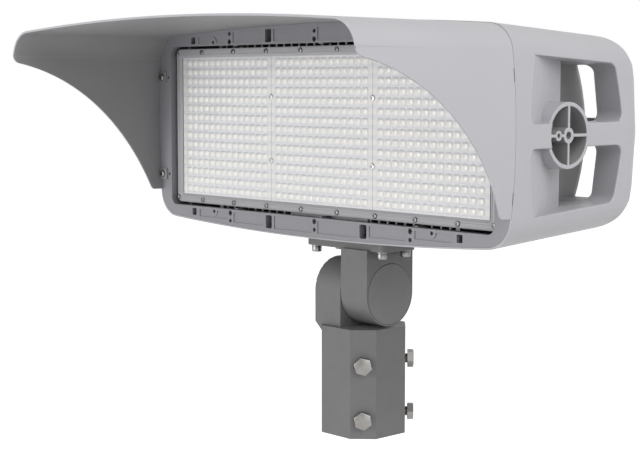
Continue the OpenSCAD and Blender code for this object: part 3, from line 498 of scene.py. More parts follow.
class Finish(Enum):
    """The finishes of this light."""

    HOUSING = PowderCoat("housing_coat", (0.395, 0.391, 0.413))
    VISOR = PowderCoat("visor_coat", (0.41, 0.41, 0.432))
    # Painted shade: the visor's inside and its tabs take a darker grey for the shade under the hood.
    VISOR_INSIDE_SHADE = PowderCoat("visor_inside_painted_shade", (0.23, 0.23, 0.236), roughness=0.55, dust=0.0)
    BEZEL = PowderCoat("bezel_coat", (0.232, 0.229, 0.247), grain=0.001)
    LENS_FRAME = PowderCoat("lens_frame_coat", (0.36, 0.358, 0.375), grain=0.001)
    # Darker than the housing's coat: partly the castings' own grey, partly painted shade from the
    # head above.
    KNUCKLE = CoatedCasting("knuckle_coat", (0.126, 0.126, 0.128))
    # Painted light: the cap is lighter than the knuckle's coat to make up for the head's shadow over
    # it.
    CAP = CoatedCasting("cap_coat_painted_light", (0.152, 0.152, 0.154))
    # Painted shade: a darker grey in the deep pockets of the trunnion boss and on the wall beside
    # the fins.
    POCKET_SHADE = CoatedCasting("painted_pocket_shade", (0.25, 0.25, 0.256))
    # Dull cast skin, partly painted shade: kept dark so that the fins and plate deep in the slots
    # and holes read dark.
    CAST_WITH_SLOT_SHADE = BareMetal("bare_casting_with_painted_shade", (0.36, 0.365, 0.375), 0.5, cast=True)
    STEEL = BareMetal("bright_steel", (0.235, 0.226, 0.218), 0.36)
    # Painted shade: steel darkened for the bezel screws, which sit in shade deep in their recesses.
    STEEL_IN_PAINTED_SHADE = BareMetal("steel_in_painted_shade", (0.07, 0.069, 0.068), 0.4)
    PALE_STEEL = BareMetal("pale_steel", (0.55, 0.545, 0.54), 0.42)
    LENS = LensPlastic("lens_plastic", (0.81, 0.795, 0.766), (0.725, 0.727, 0.75))
    BOARD = Plastic("board_mask", (0.92, 0.915, 0.89), 0.4, coat=0.2)
    CHIP = Plastic("chip_case", (0.88, 0.87, 0.82), 0.35)
    PHOSPHOR = Plastic("phosphor", (0.86, 0.70, 0.24), 0.45, spread=0.08)
    RUBBER = Plastic("silicone", (0.03, 0.03, 0.031), 0.7, grain=0.0006)
    BLACK = Plastic("black_nylon", (0.035, 0.035, 0.037), 0.45, depth=0.00005)
    CASE = PowderCoat("driver_case", (0.55, 0.56, 0.57), roughness=0.38)
    RED = Plastic("potting", (0.44, 0.035, 0.02), 0.4, coat=0.3)
    IVORY = Plastic("terminal_plastic", (0.74, 0.71, 0.58), 0.45)

    @property
    @cache
    def material(self) -> bpy.types.Material:
        """The finish's material, made at its first use."""
        return self.value.make()


# ---------------------------------------------------------------- mesh bench

def swung(centre: Pair, radius: float, start: float, end: float, steps: int) -> list[Pair]:
    """Points on an arc.

    Args:
        centre: Its centre.
        radius: Its radius.
        start: First angle in degrees.
        end: Last angle in degrees.
        steps: Number of steps between them.

    Returns:
        The steps + 1 points.
    """
    turns = [math.radians(start + (end - start) * i / steps) for i in range(steps + 1)]
    return [(centre[0] + radius * math.cos(t), centre[1] + radius * math.sin(t)) for t in turns]


def circle(steps: int, radius: float = 1.0) -> list[Pair]:
    """Points of a whole circle round the origin."""
    return swung((0, 0), radius, 0, 360, steps)[:-1]


def round_corners(width: float, height: float, radius: float, steps: int = 6) -> list[Pair]:
    """Points of a rectangle with round corners, counter-clockwise.

    Args:
        width: Its width.
        height: Its height.
        radius: Radius of the corners.
        steps: Steps round each corner.

    Returns:
        The points, about the origin.
    """
    a, b = width / 2 - radius, height / 2 - radius
    corners = (((a, b), 0), ((-a, b), 90), ((-a, -b), 180), ((a, -b), 270))
    return [p for c, t in corners for p in swung(c, radius, t, t + 90, steps)]


def local(place: Vector) -> Triple:
    """Turns a place in the row frame into the head's own millimetres, on its right half."""
    return abs(place.x) / MM, place.y / MM + AXIS_BACK, place.z / MM - AXIS_H - HEAD_LIFT


def ring(bm: BMesh, points: Iterable[Triple]) -> Ring:
    """Adds a ring of vertices and returns them."""
    return [bm.verts.new(p) for p in points]


def skin(bm: BMesh, rings: Sequence[Ring], closed: bool = True, slot: int = 0) -> None:
    """Joins rings of vertices by quads.

    Args:
        bm: Mesh that they are in.
        rings: The rings, each with as many vertices.
        closed: Whether each ring closes on itself.
        slot: Material slot of the new faces.
    """
    for low, high in zip(rings, rings[1:]):
        count = len(low)
        for i in range(count if closed else count - 1):
            j = (i + 1) % count
            face = bm.faces.new((low[i], low[j], high[j], high[i]))
            face.material_index = slot


def prism(bm: BMesh, rings: Sequence[Ring]) -> None:
    """Joins rings of vertices by quads and closes both ends.

    Args:
        bm: Mesh to add to.
        rings: The rings from one end to the other.
    """
    skin(bm, rings)
    bm.faces.new(rings[0][::-1])
    bm.faces.new(rings[-1])


def lathe(bm: BMesh, profile: Sequence[Pair], steps: int = 32, warp: Warp | None = None
          ) -> list[Ring]:
    """Turns a profile round the Z axis.

    Args:
        bm: Mesh to add to.
        profile: Points of radius and height.
        steps: Steps round the axis.
        warp: Function of step, radius and height that gives the radius there.

    Returns:
        The rings of vertices; a profile that ends on the axis is closed there.
    """
    rings = []
    for radius, height in profile:
        if radius > AT_AXIS:
            reach = [warp(i, radius, height) if warp else radius for i in range(steps)]
            rings.append(ring(bm, [(r * x, r * y, height)
                                   for r, (x, y) in zip(reach, circle(steps))]))
    skin(bm, rings)
    for (radius, _), edge in ((profile[0], rings[0][::-1]), (profile[-1], rings[-1])):
        if radius <= AT_AXIS:
            bm.faces.new(edge)
    return rings


def collar(bm: BMesh, profile: Sequence[Pair], steps: int = 32, warp: Warp | None = None) -> None:
    """Turns a closed profile round the Z axis; the arguments are those of lathe."""
    rings = lathe(bm, profile, steps, warp)
    skin(bm, [rings[-1], rings[0]])


def sunk(bm: BMesh, rim: Ring, shape: Sequence[Pair], top: float, depth: float) -> None:
    """Closes a round rim with a flat top that has a sunk shape in it.

    Args:
        bm: Mesh to add to.
        rim: Vertices of the rim.
        shape: Outline of the sunk shape.
        top: Height of the flat top.
        depth: Depth of the shape.
    """
    upper = ring(bm, [(x, y, top) for x, y in shape])
    lower = ring(bm, [(x, y, top - depth) for x, y in shape])
    edges = []
    for loop in (rim, upper):
        for a, b in zip(loop, loop[1:] + loop[:1]):
            edges.append(bm.edges.get((a, b)) or bm.edges.new((a, b)))
    bmesh.ops.triangle_fill(bm, edges=edges, use_beauty=True, normal=(0, 0, 1))
    skin(bm, [upper, lower])
    bm.faces.new(lower)


def hexagon(across: float) -> list[Pair]:
    """The corners of a hexagon by its width across flats."""
    return circle(6, across / math.sqrt(3))


def cross(reach: float, arm: float) -> list[Pair]:
    """The outline of a cross.

    Args:
        reach: Reach of its arms.
        arm: Half the width of an arm.

    Returns:
        Its points.
    """
    quarter = [(reach, -arm), (reach, arm), (arm, arm)]
    return [(x * c - y * s, x * s + y * c) for c, s in ((1, 0), (0, 1), (-1, 0), (0, -1))
            for x, y in quarter]


def hex_prism(bm: BMesh, across: float, height: float, base: float = 0.0, hole: float = 0.0,
              both: bool = False) -> None:
    """Adds a hexagonal head or nut with its corners turned down.

    Args:
        bm: Mesh to add to.
        across: Width across flats.
        height: Its height.
        base: Height that it starts at.
        hole: Radius of the hole through it, or 0.
        both: Whether the corners are turned down at both ends.
    """
    steps, share, slant = 48, 0.96, math.radians(27)
    flat = across / 2
    crown = flat * share
    top = base + height
    angles = [math.radians(360 * i / steps) for i in range(steps)]
    reach = [flat / math.cos((a + math.pi / 6) % (math.pi / 3) - math.pi / 6) for a in angles]
    fall = [(r - crown) * math.tan(slant) for r in reach]

    def level(radii: Sequence[float], heights: Sequence[float]) -> Ring:
        """Adds one ring of the head."""
        return ring(bm, [(r * math.cos(a), r * math.sin(a), z)
                         for r, a, z in zip(radii, angles, heights)])

    def flat_level(radius: float, z: float) -> Ring:
        """Adds one round ring of the head."""
        return level([radius] * steps, [z] * steps)

    if both:
        rings = [flat_level(crown, base), level(reach, [base + f for f in fall])]
    else:
        rings = [level(reach, [base] * steps)]
    rings += [level(reach, [top - f for f in fall]), flat_level(crown, top)]
    if hole:
        rings += [flat_level(hole, top), flat_level(hole, base)]
        skin(bm, rings + [rings[0]])
    else:
        prism(bm, rings)


def threaded(bm: BMesh, radius: float, start: float, end: float, pitch: float) -> None:
    """Adds a threaded shank along Z.

    Args:
        bm: Mesh to add to.
        radius: Outer radius of the thread.
        start: Height of its foot.
        end: Height of its end.
        pitch: Distance between crests.
    """
    count = int((end - start) / pitch)
    step = (end - start) / count
    root, core, steps = radius * 0.88, radius * 0.86, 28
    profile: list[Pair] = [(0, start), (core, start)]
    for i in range(count):
        z = start + (end - start) * i / count
        profile += [(root, z + step * 0.1), (radius, z + step * 0.5), (root, z + step * 0.9)]
    lathe(bm, profile + [(core, end), (0, end)], steps)


def slab(bm: BMesh, low: Triple, high: Triple, slot: int = 0) -> None:
    """Adds a block between two corners.

    Args:
        bm: Mesh to add to.
        low: Its lowest corner.
        high: Its highest corner.
        slot: Material slot of its faces.
    """
    size = Vector(high) - Vector(low)
    middle = (Vector(high) + Vector(low)) / 2
    place = Matrix.Translation(middle) @ Matrix.Diagonal((*size, 1))
    made = bmesh.ops.create_cube(bm, size=1.0, matrix=place)
    for face in {f for v in made["verts"] for f in v.link_faces}:
        face.material_index = slot


def aimed(axis: Triple, at: Triple = (0, 0, 0), turn: float = 0.0, track: str = "Z") -> Matrix:
    """A matrix that turns one of an object's axes to a direction and moves the origin.

    Args:
        axis: The direction.
        at: New place of the origin.
        turn: Turn about Z in degrees, made first.
        track: The object's axis, Z or -Z.

    Returns:
        The matrix.
    """
    turned = Vector(axis).to_track_quat(track, "Y").to_matrix().to_4x4()
    return Matrix.Translation(at) @ turned @ Matrix.Rotation(math.radians(turn), 4, "Z")


def outward(bm: BMesh) -> BMesh:
    """Turns all faces of a mesh outwards and returns it."""
    bmesh.ops.recalc_face_normals(bm, faces=bm.faces)
    return bm


def node_mesh(node: str, flat: float = 0.5) -> BMesh:
    """Copies a CAD node's mesh and joins its loose triangles.

    Args:
        node: Name of the node.
        flat: Faces that differ by less than this angle in degrees become one.

    Returns:
        The copy, in metres.
    """
    bm = bmesh.new()
    bm.from_mesh(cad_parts[node].data)
    bmesh.ops.remove_doubles(bm, verts=bm.verts, dist=1e-5)
    bmesh.ops.dissolve_limit(bm, angle_limit=math.radians(flat), verts=bm.verts, edges=bm.edges)
    return bm


def soften(bm: BMesh, width: float, segments: int = 2, angle: float = 32.0,
           pick: Test | None = None) -> None:
    """Rounds the sharp edges of a mesh.

    Args:
        bm: The mesh.
        width: Width of the rounding, in the mesh's own unit.
        segments: Number of faces across it.
        angle: Least angle between two faces of a sharp edge.
        pick: Test on the middle of an edge, to round only some.
    """
    sharp = [e for e in bm.edges
             if len(e.link_faces) == 2 and e.calc_face_angle(0) > math.radians(angle)]
    if pick:
        sharp = [e for e in sharp if pick((e.verts[0].co + e.verts[1].co) / 2)]
    if sharp:
        bmesh.ops.bevel(bm, geom=sharp, offset=width, offset_type="OFFSET", segments=segments,
                        profile=0.5, affect="EDGES", clamp_overlap=pick is None, loop_slide=True)


def mark(bm: BMesh, test: Test) -> None:
    """Gives some faces the second material slot.

    Args:
        bm: The mesh.
        test: Test on the middle of a face.
    """
    for face in bm.faces:
        if test(face.calc_center_median()):
            face.material_index = 1


def put(name: str, data: bpy.types.ID) -> bpy.types.Object:
    """Adds an object to the scene.

    Args:
        name: Its name.
        data: Its data.

    Returns:
        The object.
    """
    thing = bpy.data.objects.new(name, data)
    bpy.context.scene.collection.objects.link(thing)
    return thing


def baked(name: str, bm: BMesh) -> bpy.types.Mesh:
    """Turns a mesh of the bench into a plain mesh and frees it.

    Args:
        name: Name of the new mesh.
        bm: The mesh.

    Returns:
        The plain mesh.
    """
    mesh = bpy.data.meshes.new(name)
    bm.to_mesh(mesh)
    bm.free()
    return mesh


def to_object(name: str, bm: BMesh, place: Matrix, *finishes: Finish, sharp: float = 40.0,
              even: bool = False) -> bpy.types.Object:
    """Makes an object from a mesh.

    Args:
        name: Name of the piece.
        bm: Its mesh, which is freed.
        place: Matrix to the row frame in metres.
        finishes: Its finishes, by material slot.
        sharp: Edges sharper than this angle in degrees stay sharp.
        even: Whether large faces keep their flat shading beside rounded edges.

    Returns:
        The object.
    """
    bmesh.ops.transform(bm, matrix=place, verts=bm.verts)
    return dressed(name, baked(name, bm), *finishes, sharp=sharp, even=even)


def dressed(name: str, mesh: bpy.types.Mesh, *finishes: Finish, sharp: float = 40.0,
            even: bool = False) -> bpy.types.Object:
    """Makes an object from a finished mesh.

    Args:
        name: Name of the piece.
        mesh: Its mesh.
        finishes: Its finishes, by material slot.
        sharp: Edges sharper than this angle in degrees stay sharp.
        even: Whether large faces keep their flat shading beside rounded edges.

    Returns:
        The object.
    """
    mesh.shade_smooth()
    mesh.set_sharp_from_angle(angle=math.radians(sharp))
    for finish in finishes:
        mesh.materials.append(finish.material)
    piece = put(name, mesh)
    if even:
        shading = piece.modifiers.new("even_shading", "WEIGHTED_NORMAL")
        shading.keep_sharp = True
    return piece


# ---------------------------------------------------------------- geometry node trees

class GeoTree(NodeGroup):
    """A Geometry Nodes tree that repeats a model and ends in one realized, dressed mesh."""

    def __init__(self, name: str, **sizes: tuple[str, object]) -> None:
        """Starts the tree.

        Args:
            name: Name of the tree.
            sizes: Its own inputs, each a kind of socket and a value or None.
        """
        inputs = {"Geometry": ("Geometry", None), "Model": ("Object", None), **sizes,
                  "Finish": ("Material", None)}
        super().__init__(name, "Geometry", inputs, {"Geometry": "Geometry"})

    def solid(self, geometry: Socket) -> Socket:
        """Realizes the instances of a geometry."""
        return self.add("GeometryNodeRealizeInstances", {"Geometry": geometry})

    def repeat(self, points: Socket, **inputs: Socket) -> Socket:
        """Sets the model on points.

        Args:
            points: Geometry with the points.
            inputs: The node's other inputs by name.

        Returns:
            The instances' socket.
        """
        model = self.add("GeometryNodeObjectInfo", {"Object": self.value("Model")}, "Geometry")
        return self.add("GeometryNodeInstanceOnPoints",
                        {"Points": points, "Instance": model, **inputs})

    def close(self, geometry: Socket) -> "GeoTree":
        """Ends the tree.

        Args:
            geometry: What it gives out.

        Returns:
            The tree itself.
        """
        dress = self.add("GeometryNodeSetMaterial", {"Geometry": self.solid(geometry),
                                                     "Material": self.value("Finish")})
        plug(self.tree, self.end, {0: dress})
        return self

    def grow(self, name: str, model: bpy.types.Object, finish: Finish, sharp: float = 40.0,
             base: bpy.types.Mesh | None = None, **values: object) -> bpy.types.Object:
        """Runs the tree once, keeps what it makes and drops the model.

        Args:
            name: Name of the new piece.
            model: Model that the tree repeats.
            finish: Finish of the piece.
            sharp: Its edges sharper than this angle in degrees stay sharp.
            base: Mesh that goes into the tree, or None.
            values: The tree's other inputs by name.

        Returns:
            The piece, with a plain mesh.
        """
        carrier = put(name + "_carrier", base or bpy.data.meshes.new(name + "_base"))
        modifier = carrier.modifiers.new("tree", "NODES")
        modifier.node_group = self.tree
        for key, value in {"Model": model, "Finish": finish.material, **values}.items():
            modifier[self.keys[key]] = value
        graph = bpy.context.evaluated_depsgraph_get()
        mesh = bpy.data.meshes.new_from_object(carrier.evaluated_get(graph))
        mesh.name = name
        carrier.modifiers.remove(modifier)
        bpy.data.objects.remove(carrier)
        bpy.data.objects.remove(model)
        return dressed(name, mesh, sharp=sharp)


@cache
def spread_tree() -> GeoTree:
    """Builds the tree that sets a model on each point, along the point's own direction.

    Returns:
        The tree.
    """
    tree = GeoTree("set_on_points", Spin=("Float", 0.0), Seed=("Int", 7))
    aim = tree.add("GeometryNodeInputNamedAttribute", {"Name": "aim"}, data_type="FLOAT_VECTOR")
    along = tree.add("FunctionNodeAlignRotationToVector", {"Vector": aim}, axis="Z")
    turn = tree.add("FunctionNodeRandomValue", {2: 0.0, 3: tree.value("Spin"),
                                                "Seed": tree.value("Seed")}, 1, data_type="FLOAT")
    about = tree.add("FunctionNodeAxisAngleToRotation", {"Axis": (0, 0, 1), "Angle": turn})
    both = tree.add("FunctionNodeRotateRotation", {"Rotation": along, "Rotate By": about},
                    rotation_space="LOCAL")
    return tree.close(tree.repeat(tree.value("Geometry"), Rotation=both))


@cache
def array_tree() -> GeoTree:
    """Builds the tree that sets a model on a grid in X and Z, with a plate behind it.

    Returns:
        The tree.
    """
    tree = GeoTree("array_in_rows", Columns=("Int", 2), Rows=("Int", 2), Pitch=("Float", 0.01),
                   Middle=("Vector", (0, 0, 0)), Plate=("Vector", (0, 0, 0)),
                   Plate_at=("Vector", (0, 0, 0)))
    columns, rows = tree.value("Columns"), tree.value("Rows")
    wide, high = (tree.math("MULTIPLY", tree.math("SUBTRACT", count, 1.0), tree.value("Pitch"))
                  for count in (columns, rows))
    grid = tree.add("GeometryNodeMeshGrid", {"Size X": wide, "Size Y": high,
                                             "Vertices X": columns, "Vertices Y": rows})
    upright = tree.add("GeometryNodeTransform", {"Geometry": grid,
                                                 "Translation": tree.value("Middle"),
                                                 "Rotation": (math.radians(90), 0, 0)})
    plate = tree.add("GeometryNodeMeshCube", {"Size": tree.value("Plate")})
    placed = tree.add("GeometryNodeTransform", {"Geometry": plate,
                                                "Translation": tree.value("Plate_at")})
    joined = tree.tree.nodes.new("GeometryNodeJoinGeometry")
    for part in (placed, tree.solid(tree.repeat(upright))):
        plug(tree.tree, joined, {0: part})
    return tree.close(joined.outputs[0])


@cache
def fin_tree() -> GeoTree:
    """Builds the tree that repeats a fin along X and lowers it by the head's crown.

    Returns:
        The tree.
    """
    tree = GeoTree("fin_row", Count=("Int", 3), Pitch=("Float", 0.01), First=("Float", 0.0),
                   Crown=("Float", 0.0), Reach=("Float", 0.2), Height=("Float", 0.1),
                   Middle=("Float", 0.0))
    start, step = (tree.add("ShaderNodeCombineXYZ", {"X": tree.value(key)})
                   for key in ("First", "Pitch"))
    line = tree.add("GeometryNodeMeshLine", {"Count": tree.value("Count"),
                                             "Start Location": start, "Offset": step})
    row = tree.solid(tree.repeat(line))
    place = tree.add("GeometryNodeInputPosition")
    x, z = (tree.add("ShaderNodeSeparateXYZ", {0: place}, axis) for axis in (0, 2))
    across = tree.math("POWER", tree.math("DIVIDE", x, tree.value("Reach")), 2.0)
    lift = tree.math("DIVIDE", tree.math("SUBTRACT", z, tree.value("Middle")),
                     tree.value("Height"))
    drop = tree.math("MULTIPLY", tree.math("MULTIPLY", across, tree.value("Crown")), lift)
    offset = tree.add("ShaderNodeCombineXYZ", {"Z": tree.math("MULTIPLY", drop, -1.0)})
    return tree.close(tree.add("GeometryNodeSetPosition", {"Geometry": row, "Offset": offset}))


def model_object(name: str, bm: BMesh, sharp: float = 35.0) -> bpy.types.Object:
    """Makes a model to be repeated by a tree, in metres, from a mesh in millimetres."""
    return to_object(name, bm, TO_ROW, sharp=sharp)


# ---------------------------------------------------------------- the light's own shapes

@dataclass(frozen=True)
class HeadForm:
    """The outline of the head, in millimetres, with Y = 0 on the lens frame's face."""

    width: float = 505.0
    height: float = 211.0
    depth: float = 199.0
    crown: float = 8.2
    bow: float = 4.0
    bow_span: float = 70.0
    corner: float = 28.0
    draft: float = 2.9
    face_y: float = -5.9
    back_r: float = 170.0
    back_edge_r: float = 25.0

    @property
    def top_r(self) -> float:
        """Radius of the arc along the top."""
        return ((self.width / 2 - self.corner) ** 2 + self.crown ** 2) / (2 * self.crown)

    @property
    def side_r(self) -> float:
        """Radius of the arc down the side."""
        return (self.bow_span ** 2 + self.bow ** 2) / (2 * self.bow)

    @property
    def slant(self) -> float:
        """Tangent of the draft."""
        return math.tan(math.radians(self.draft))

    def corner_centre(self) -> Pair:
        """Finds the centre of the corner between the top and the side.

        Returns:
            Its X and Z.
        """
        top = Vector((0, self.height / 2 - self.top_r))
        side = Vector((self.width / 2 - self.side_r, 0))
        line = side - top
        unit = line.normalized()
        a = ((self.top_r - self.corner) ** 2 - (self.side_r - self.corner) ** 2
             + line.length ** 2) / (2 * line.length)
        h = math.sqrt((self.top_r - self.corner) ** 2 - a * a)
        centre = top + unit * a + Vector((unit.y, -unit.x)) * h
        return centre.x, centre.y

    def corner_angles(self) -> Pair:
        """Finds where the corner meets the top and the side.

        Returns:
            Both angles in degrees.
        """
        x, z = self.corner_centre()
        top = math.degrees(math.atan2(z - (self.height / 2 - self.top_r), x))
        side = math.degrees(math.atan2(z, x - (self.width / 2 - self.side_r)))
        return top, side

    def side_x(self, z: float) -> float:
        """X of the side face at a height."""
        return self.width / 2 - self.side_r + math.sqrt(self.side_r ** 2 - z * z)

    def upper_quarter(self) -> list[Pair]:
        """Follows the outline from the side face over the corner.

        Returns:
            Points of X and Z, up to the middle of the top.
        """
        top, side = self.corner_angles()
        arc = swung(self.corner_centre(), self.corner, side, top, 14)
        over = swung((0, self.height / 2 - self.top_r), self.top_r, top, 90, 16)
        return arc + over[1:]

    def fin_edge(self, inset: float) -> list[Pair]:
        """Finds the back and top edge of a fin at the middle.

        Args:
            inset: How far it lies inside the outline.

        Returns:
            Points of Y and Z.
        """
        k = self.slant
        r, q = self.back_edge_r - inset, self.face_y + self.depth - self.back_r
        m = self.height / 2 - inset - r / math.cos(math.radians(self.draft)) + k * self.face_y
        b = q + m * k
        c = q * q + m * m - (self.back_r - self.back_edge_r) ** 2
        y = (b + math.sqrt(b * b - (1 + k * k) * c)) / (1 + k * k)
        z = m - k * y
        turn = math.degrees(math.atan2(z, y - q))
        back = swung((q, 0), self.back_r - inset, turn, 0, 10)
        return swung((y, z), r, 90 - self.draft, turn, 5) + back[1:]


FORM = HeadForm()


@dataclass
class Assembly:
    """A sub-assembly of the light that makes pieces for one body."""

    body: str = "head"
    made: list[str] = field(default_factory=list)

    def keep(self, piece: bpy.types.Object, slot: str, *nodes: str, body: str = "") -> None:
        """Ties a piece to its body and hides the nodes that it stands for.

        Args:
            piece: The finished piece.
            slot: Slot of the record that its finish comes from; it is not used.
            nodes: CAD nodes that it replaces.
            body: Body that it rides on, if not the assembly's own.
        """
        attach(piece, body or self.body)
        if nodes:
            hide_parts(*nodes)
        self.made.append(piece.name)

    def round_off(self, node: str, suffix: str, edge: float, slot: str, finish: Finish,
                  segments: int = 2, body: str = "") -> None:
        """Makes a CAD node's piece with all its sharp edges rounded.

        Args:
            node: The node.
            suffix: What the piece's name has after the node's.
            edge: Width of the rounding in millimetres.
            slot: Slot of the record that its finish comes from.
            finish: Its finish.
            segments: Number of faces across the rounding.
            body: Body that it rides on, if not the assembly's own.
        """
        bm = node_mesh(node)
        soften(bm, edge * MM, segments)
        piece = to_object(node + suffix, bm, Matrix(), finish, even=True)
        self.keep(piece, slot, node, body=body)

    def dress(self, finish: Finish, *nodes: str) -> None:
        """Gives CAD nodes a finish and leaves their meshes as they are.

        Args:
            finish: The finish.
            nodes: The nodes.
        """
        for node in nodes:
            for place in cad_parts[node].material_slots:
                place.material = finish.material
            self.made.append(node)

    def build(self) -> None:
        """Makes the pieces in order."""
        raise NotImplementedError

    def report(self) -> None:
        """Logs what the assembly made."""
        for name in self.made:
            LOG.info("%s: %s", type(self).__name__, name)


@dataclass
class Housing(Assembly):
    """The two covers, the two end frames with their grips, and the bezel."""

    cover_edge: float = 0.5
    rim_edge: float = 1.6
    rim_y: Pair = (17.0, 159.0)
    rim_z: float = 73.0
    boss_edge: float = 0.5
    boss_y: float = 71.0
    boss_r: float = 29.7
    boss_x: float = 248.6
    pocket_x: Pair = (215.0, 248.2)
    slope: float = 22.87
    slope_rise: float = 0.15
    core_x: float = 175.5
    core_y: float = 101.0
    bezel_edge: float = 0.35

    def off_boss(self, y: float, z: float) -> float:
        """Distance of a place from the axis of the trunnion boss."""
        return math.hypot(y - self.boss_y, z)

    def on_rim(self, middle: Vector) -> bool:
        """Tells whether an edge lies round a grip window, on the side face.

        Args:
            middle: The edge's middle in the row frame.

        Returns:
            True for an edge that is rounded off.
        """
        x, y, z = local(middle)
        near = (self.rim_y[0] < y < self.rim_y[1] and abs(z) < self.rim_z
                and self.off_boss(y, z) > self.boss_r + 1.5)
        return near and abs(x - FORM.side_x(z) + FORM.slant * (y - FORM.face_y)) < 1.0

    def on_boss(self, middle: Vector) -> bool:
        """Tells whether an edge lies on the flat face of the trunnion boss."""
        x, y, z = local(middle)
        return x > self.boss_x and self.off_boss(y, z) < self.boss_r + 0.5

    def in_pocket(self, middle: Vector) -> bool:
        """Tells whether a face lies in the pockets of the trunnion boss.

        Args:
            middle: The face's middle in the row frame.

        Returns:
            True for a face of a pocket.
        """
        x, y, z = local(middle)
        return (self.pocket_x[0] < x < self.pocket_x[1]
                and self.off_boss(y, z) < self.boss_r - 1.0)

    def on_core(self, middle: Vector) -> bool:
        """Tells whether a face of the panel lies on the wall beside the fins, which takes painted
        shade.
        """
        x, y, _ = local(middle)
        return abs(x - self.core_x) < 0.5 and y > self.core_y

    def slope_faces(self, bm: BMesh, near: float) -> set[bmesh.types.BMFace]:
        """Finds the faces on the slopes that lead into the grips.

        Args:
            bm: Mesh of an end frame or a panel.
            near: How far a normal may be off in X.

        Returns:
            The faces.
        """
        turn = math.radians(self.slope)
        return {f for f in bm.faces if abs(abs(f.normal.x) - math.cos(turn)) < near
                and abs(f.normal.y - math.sin(turn)) < 0.02}

    def join_slope(self, bm: BMesh) -> None:
        """Joins the flat faces of the slopes that lead into the grips.

        Args:
            bm: The end frame's mesh.
        """
        flat = self.slope_faces(bm, 0.02)
        edges = [e for e in bm.edges if len(e.link_faces) == 2 and flat.issuperset(e.link_faces)]
        bmesh.ops.dissolve_limit(bm, angle_limit=math.radians(1.0), verts=[], edges=edges)

    def raise_slope(self, bm: BMesh) -> None:
        """Lifts the panel's slope over the film that the end frame has on the same plane.

        Args:
            bm: The panel's mesh.
        """
        turn = math.radians(self.slope)
        for vert in {v for face in self.slope_faces(bm, 0.002) for v in face.verts}:
            side = math.copysign(math.cos(turn), vert.co.x)
            vert.co += Vector((side, math.sin(turn), 0.0)) * self.slope_rise * MM

    def build_end(self, side: str) -> None:
        """Makes one end frame and the bent panel behind its grip.

        Args:
            side: Right or left, as in the nodes' names.
        """
        node = "end_frame_" + side
        bm = node_mesh(node, 0.02)
        self.join_slope(bm)
        soften(bm, self.rim_edge * MM, 5, pick=self.on_rim)
        soften(bm, self.boss_edge * MM, 2, pick=self.on_boss)
        # The pockets' faces take the painted shade.
        mark(bm, self.in_pocket)
        self.keep(to_object(node + "_casting", bm, Matrix(), Finish.HOUSING, Finish.POCKET_SHADE,
                            sharp=19.0, even=True), "housing_paint", node)
        node = "grip_panel_" + side
        bm = node_mesh(node)
        self.raise_slope(bm)
        # The wall beside the fins takes the painted shade.
        mark(bm, self.on_core)
        self.keep(to_object(node + "_plate", bm, Matrix(), Finish.HOUSING, Finish.POCKET_SHADE,
                            sharp=1.0), "housing_paint", node)

    def build(self) -> None:
        """Makes the covers, the ends and the bezel with its holes and shallow panels."""
        for node in ("top_cover", "bottom_cover"):
            self.round_off(node, "_shell", self.cover_edge, "housing_paint", Finish.HOUSING)
        for side in ("right", "left"):
            self.build_end(side)
        self.round_off("front_bezel", "_plate", self.bezel_edge, "bezel_paint", Finish.BEZEL)


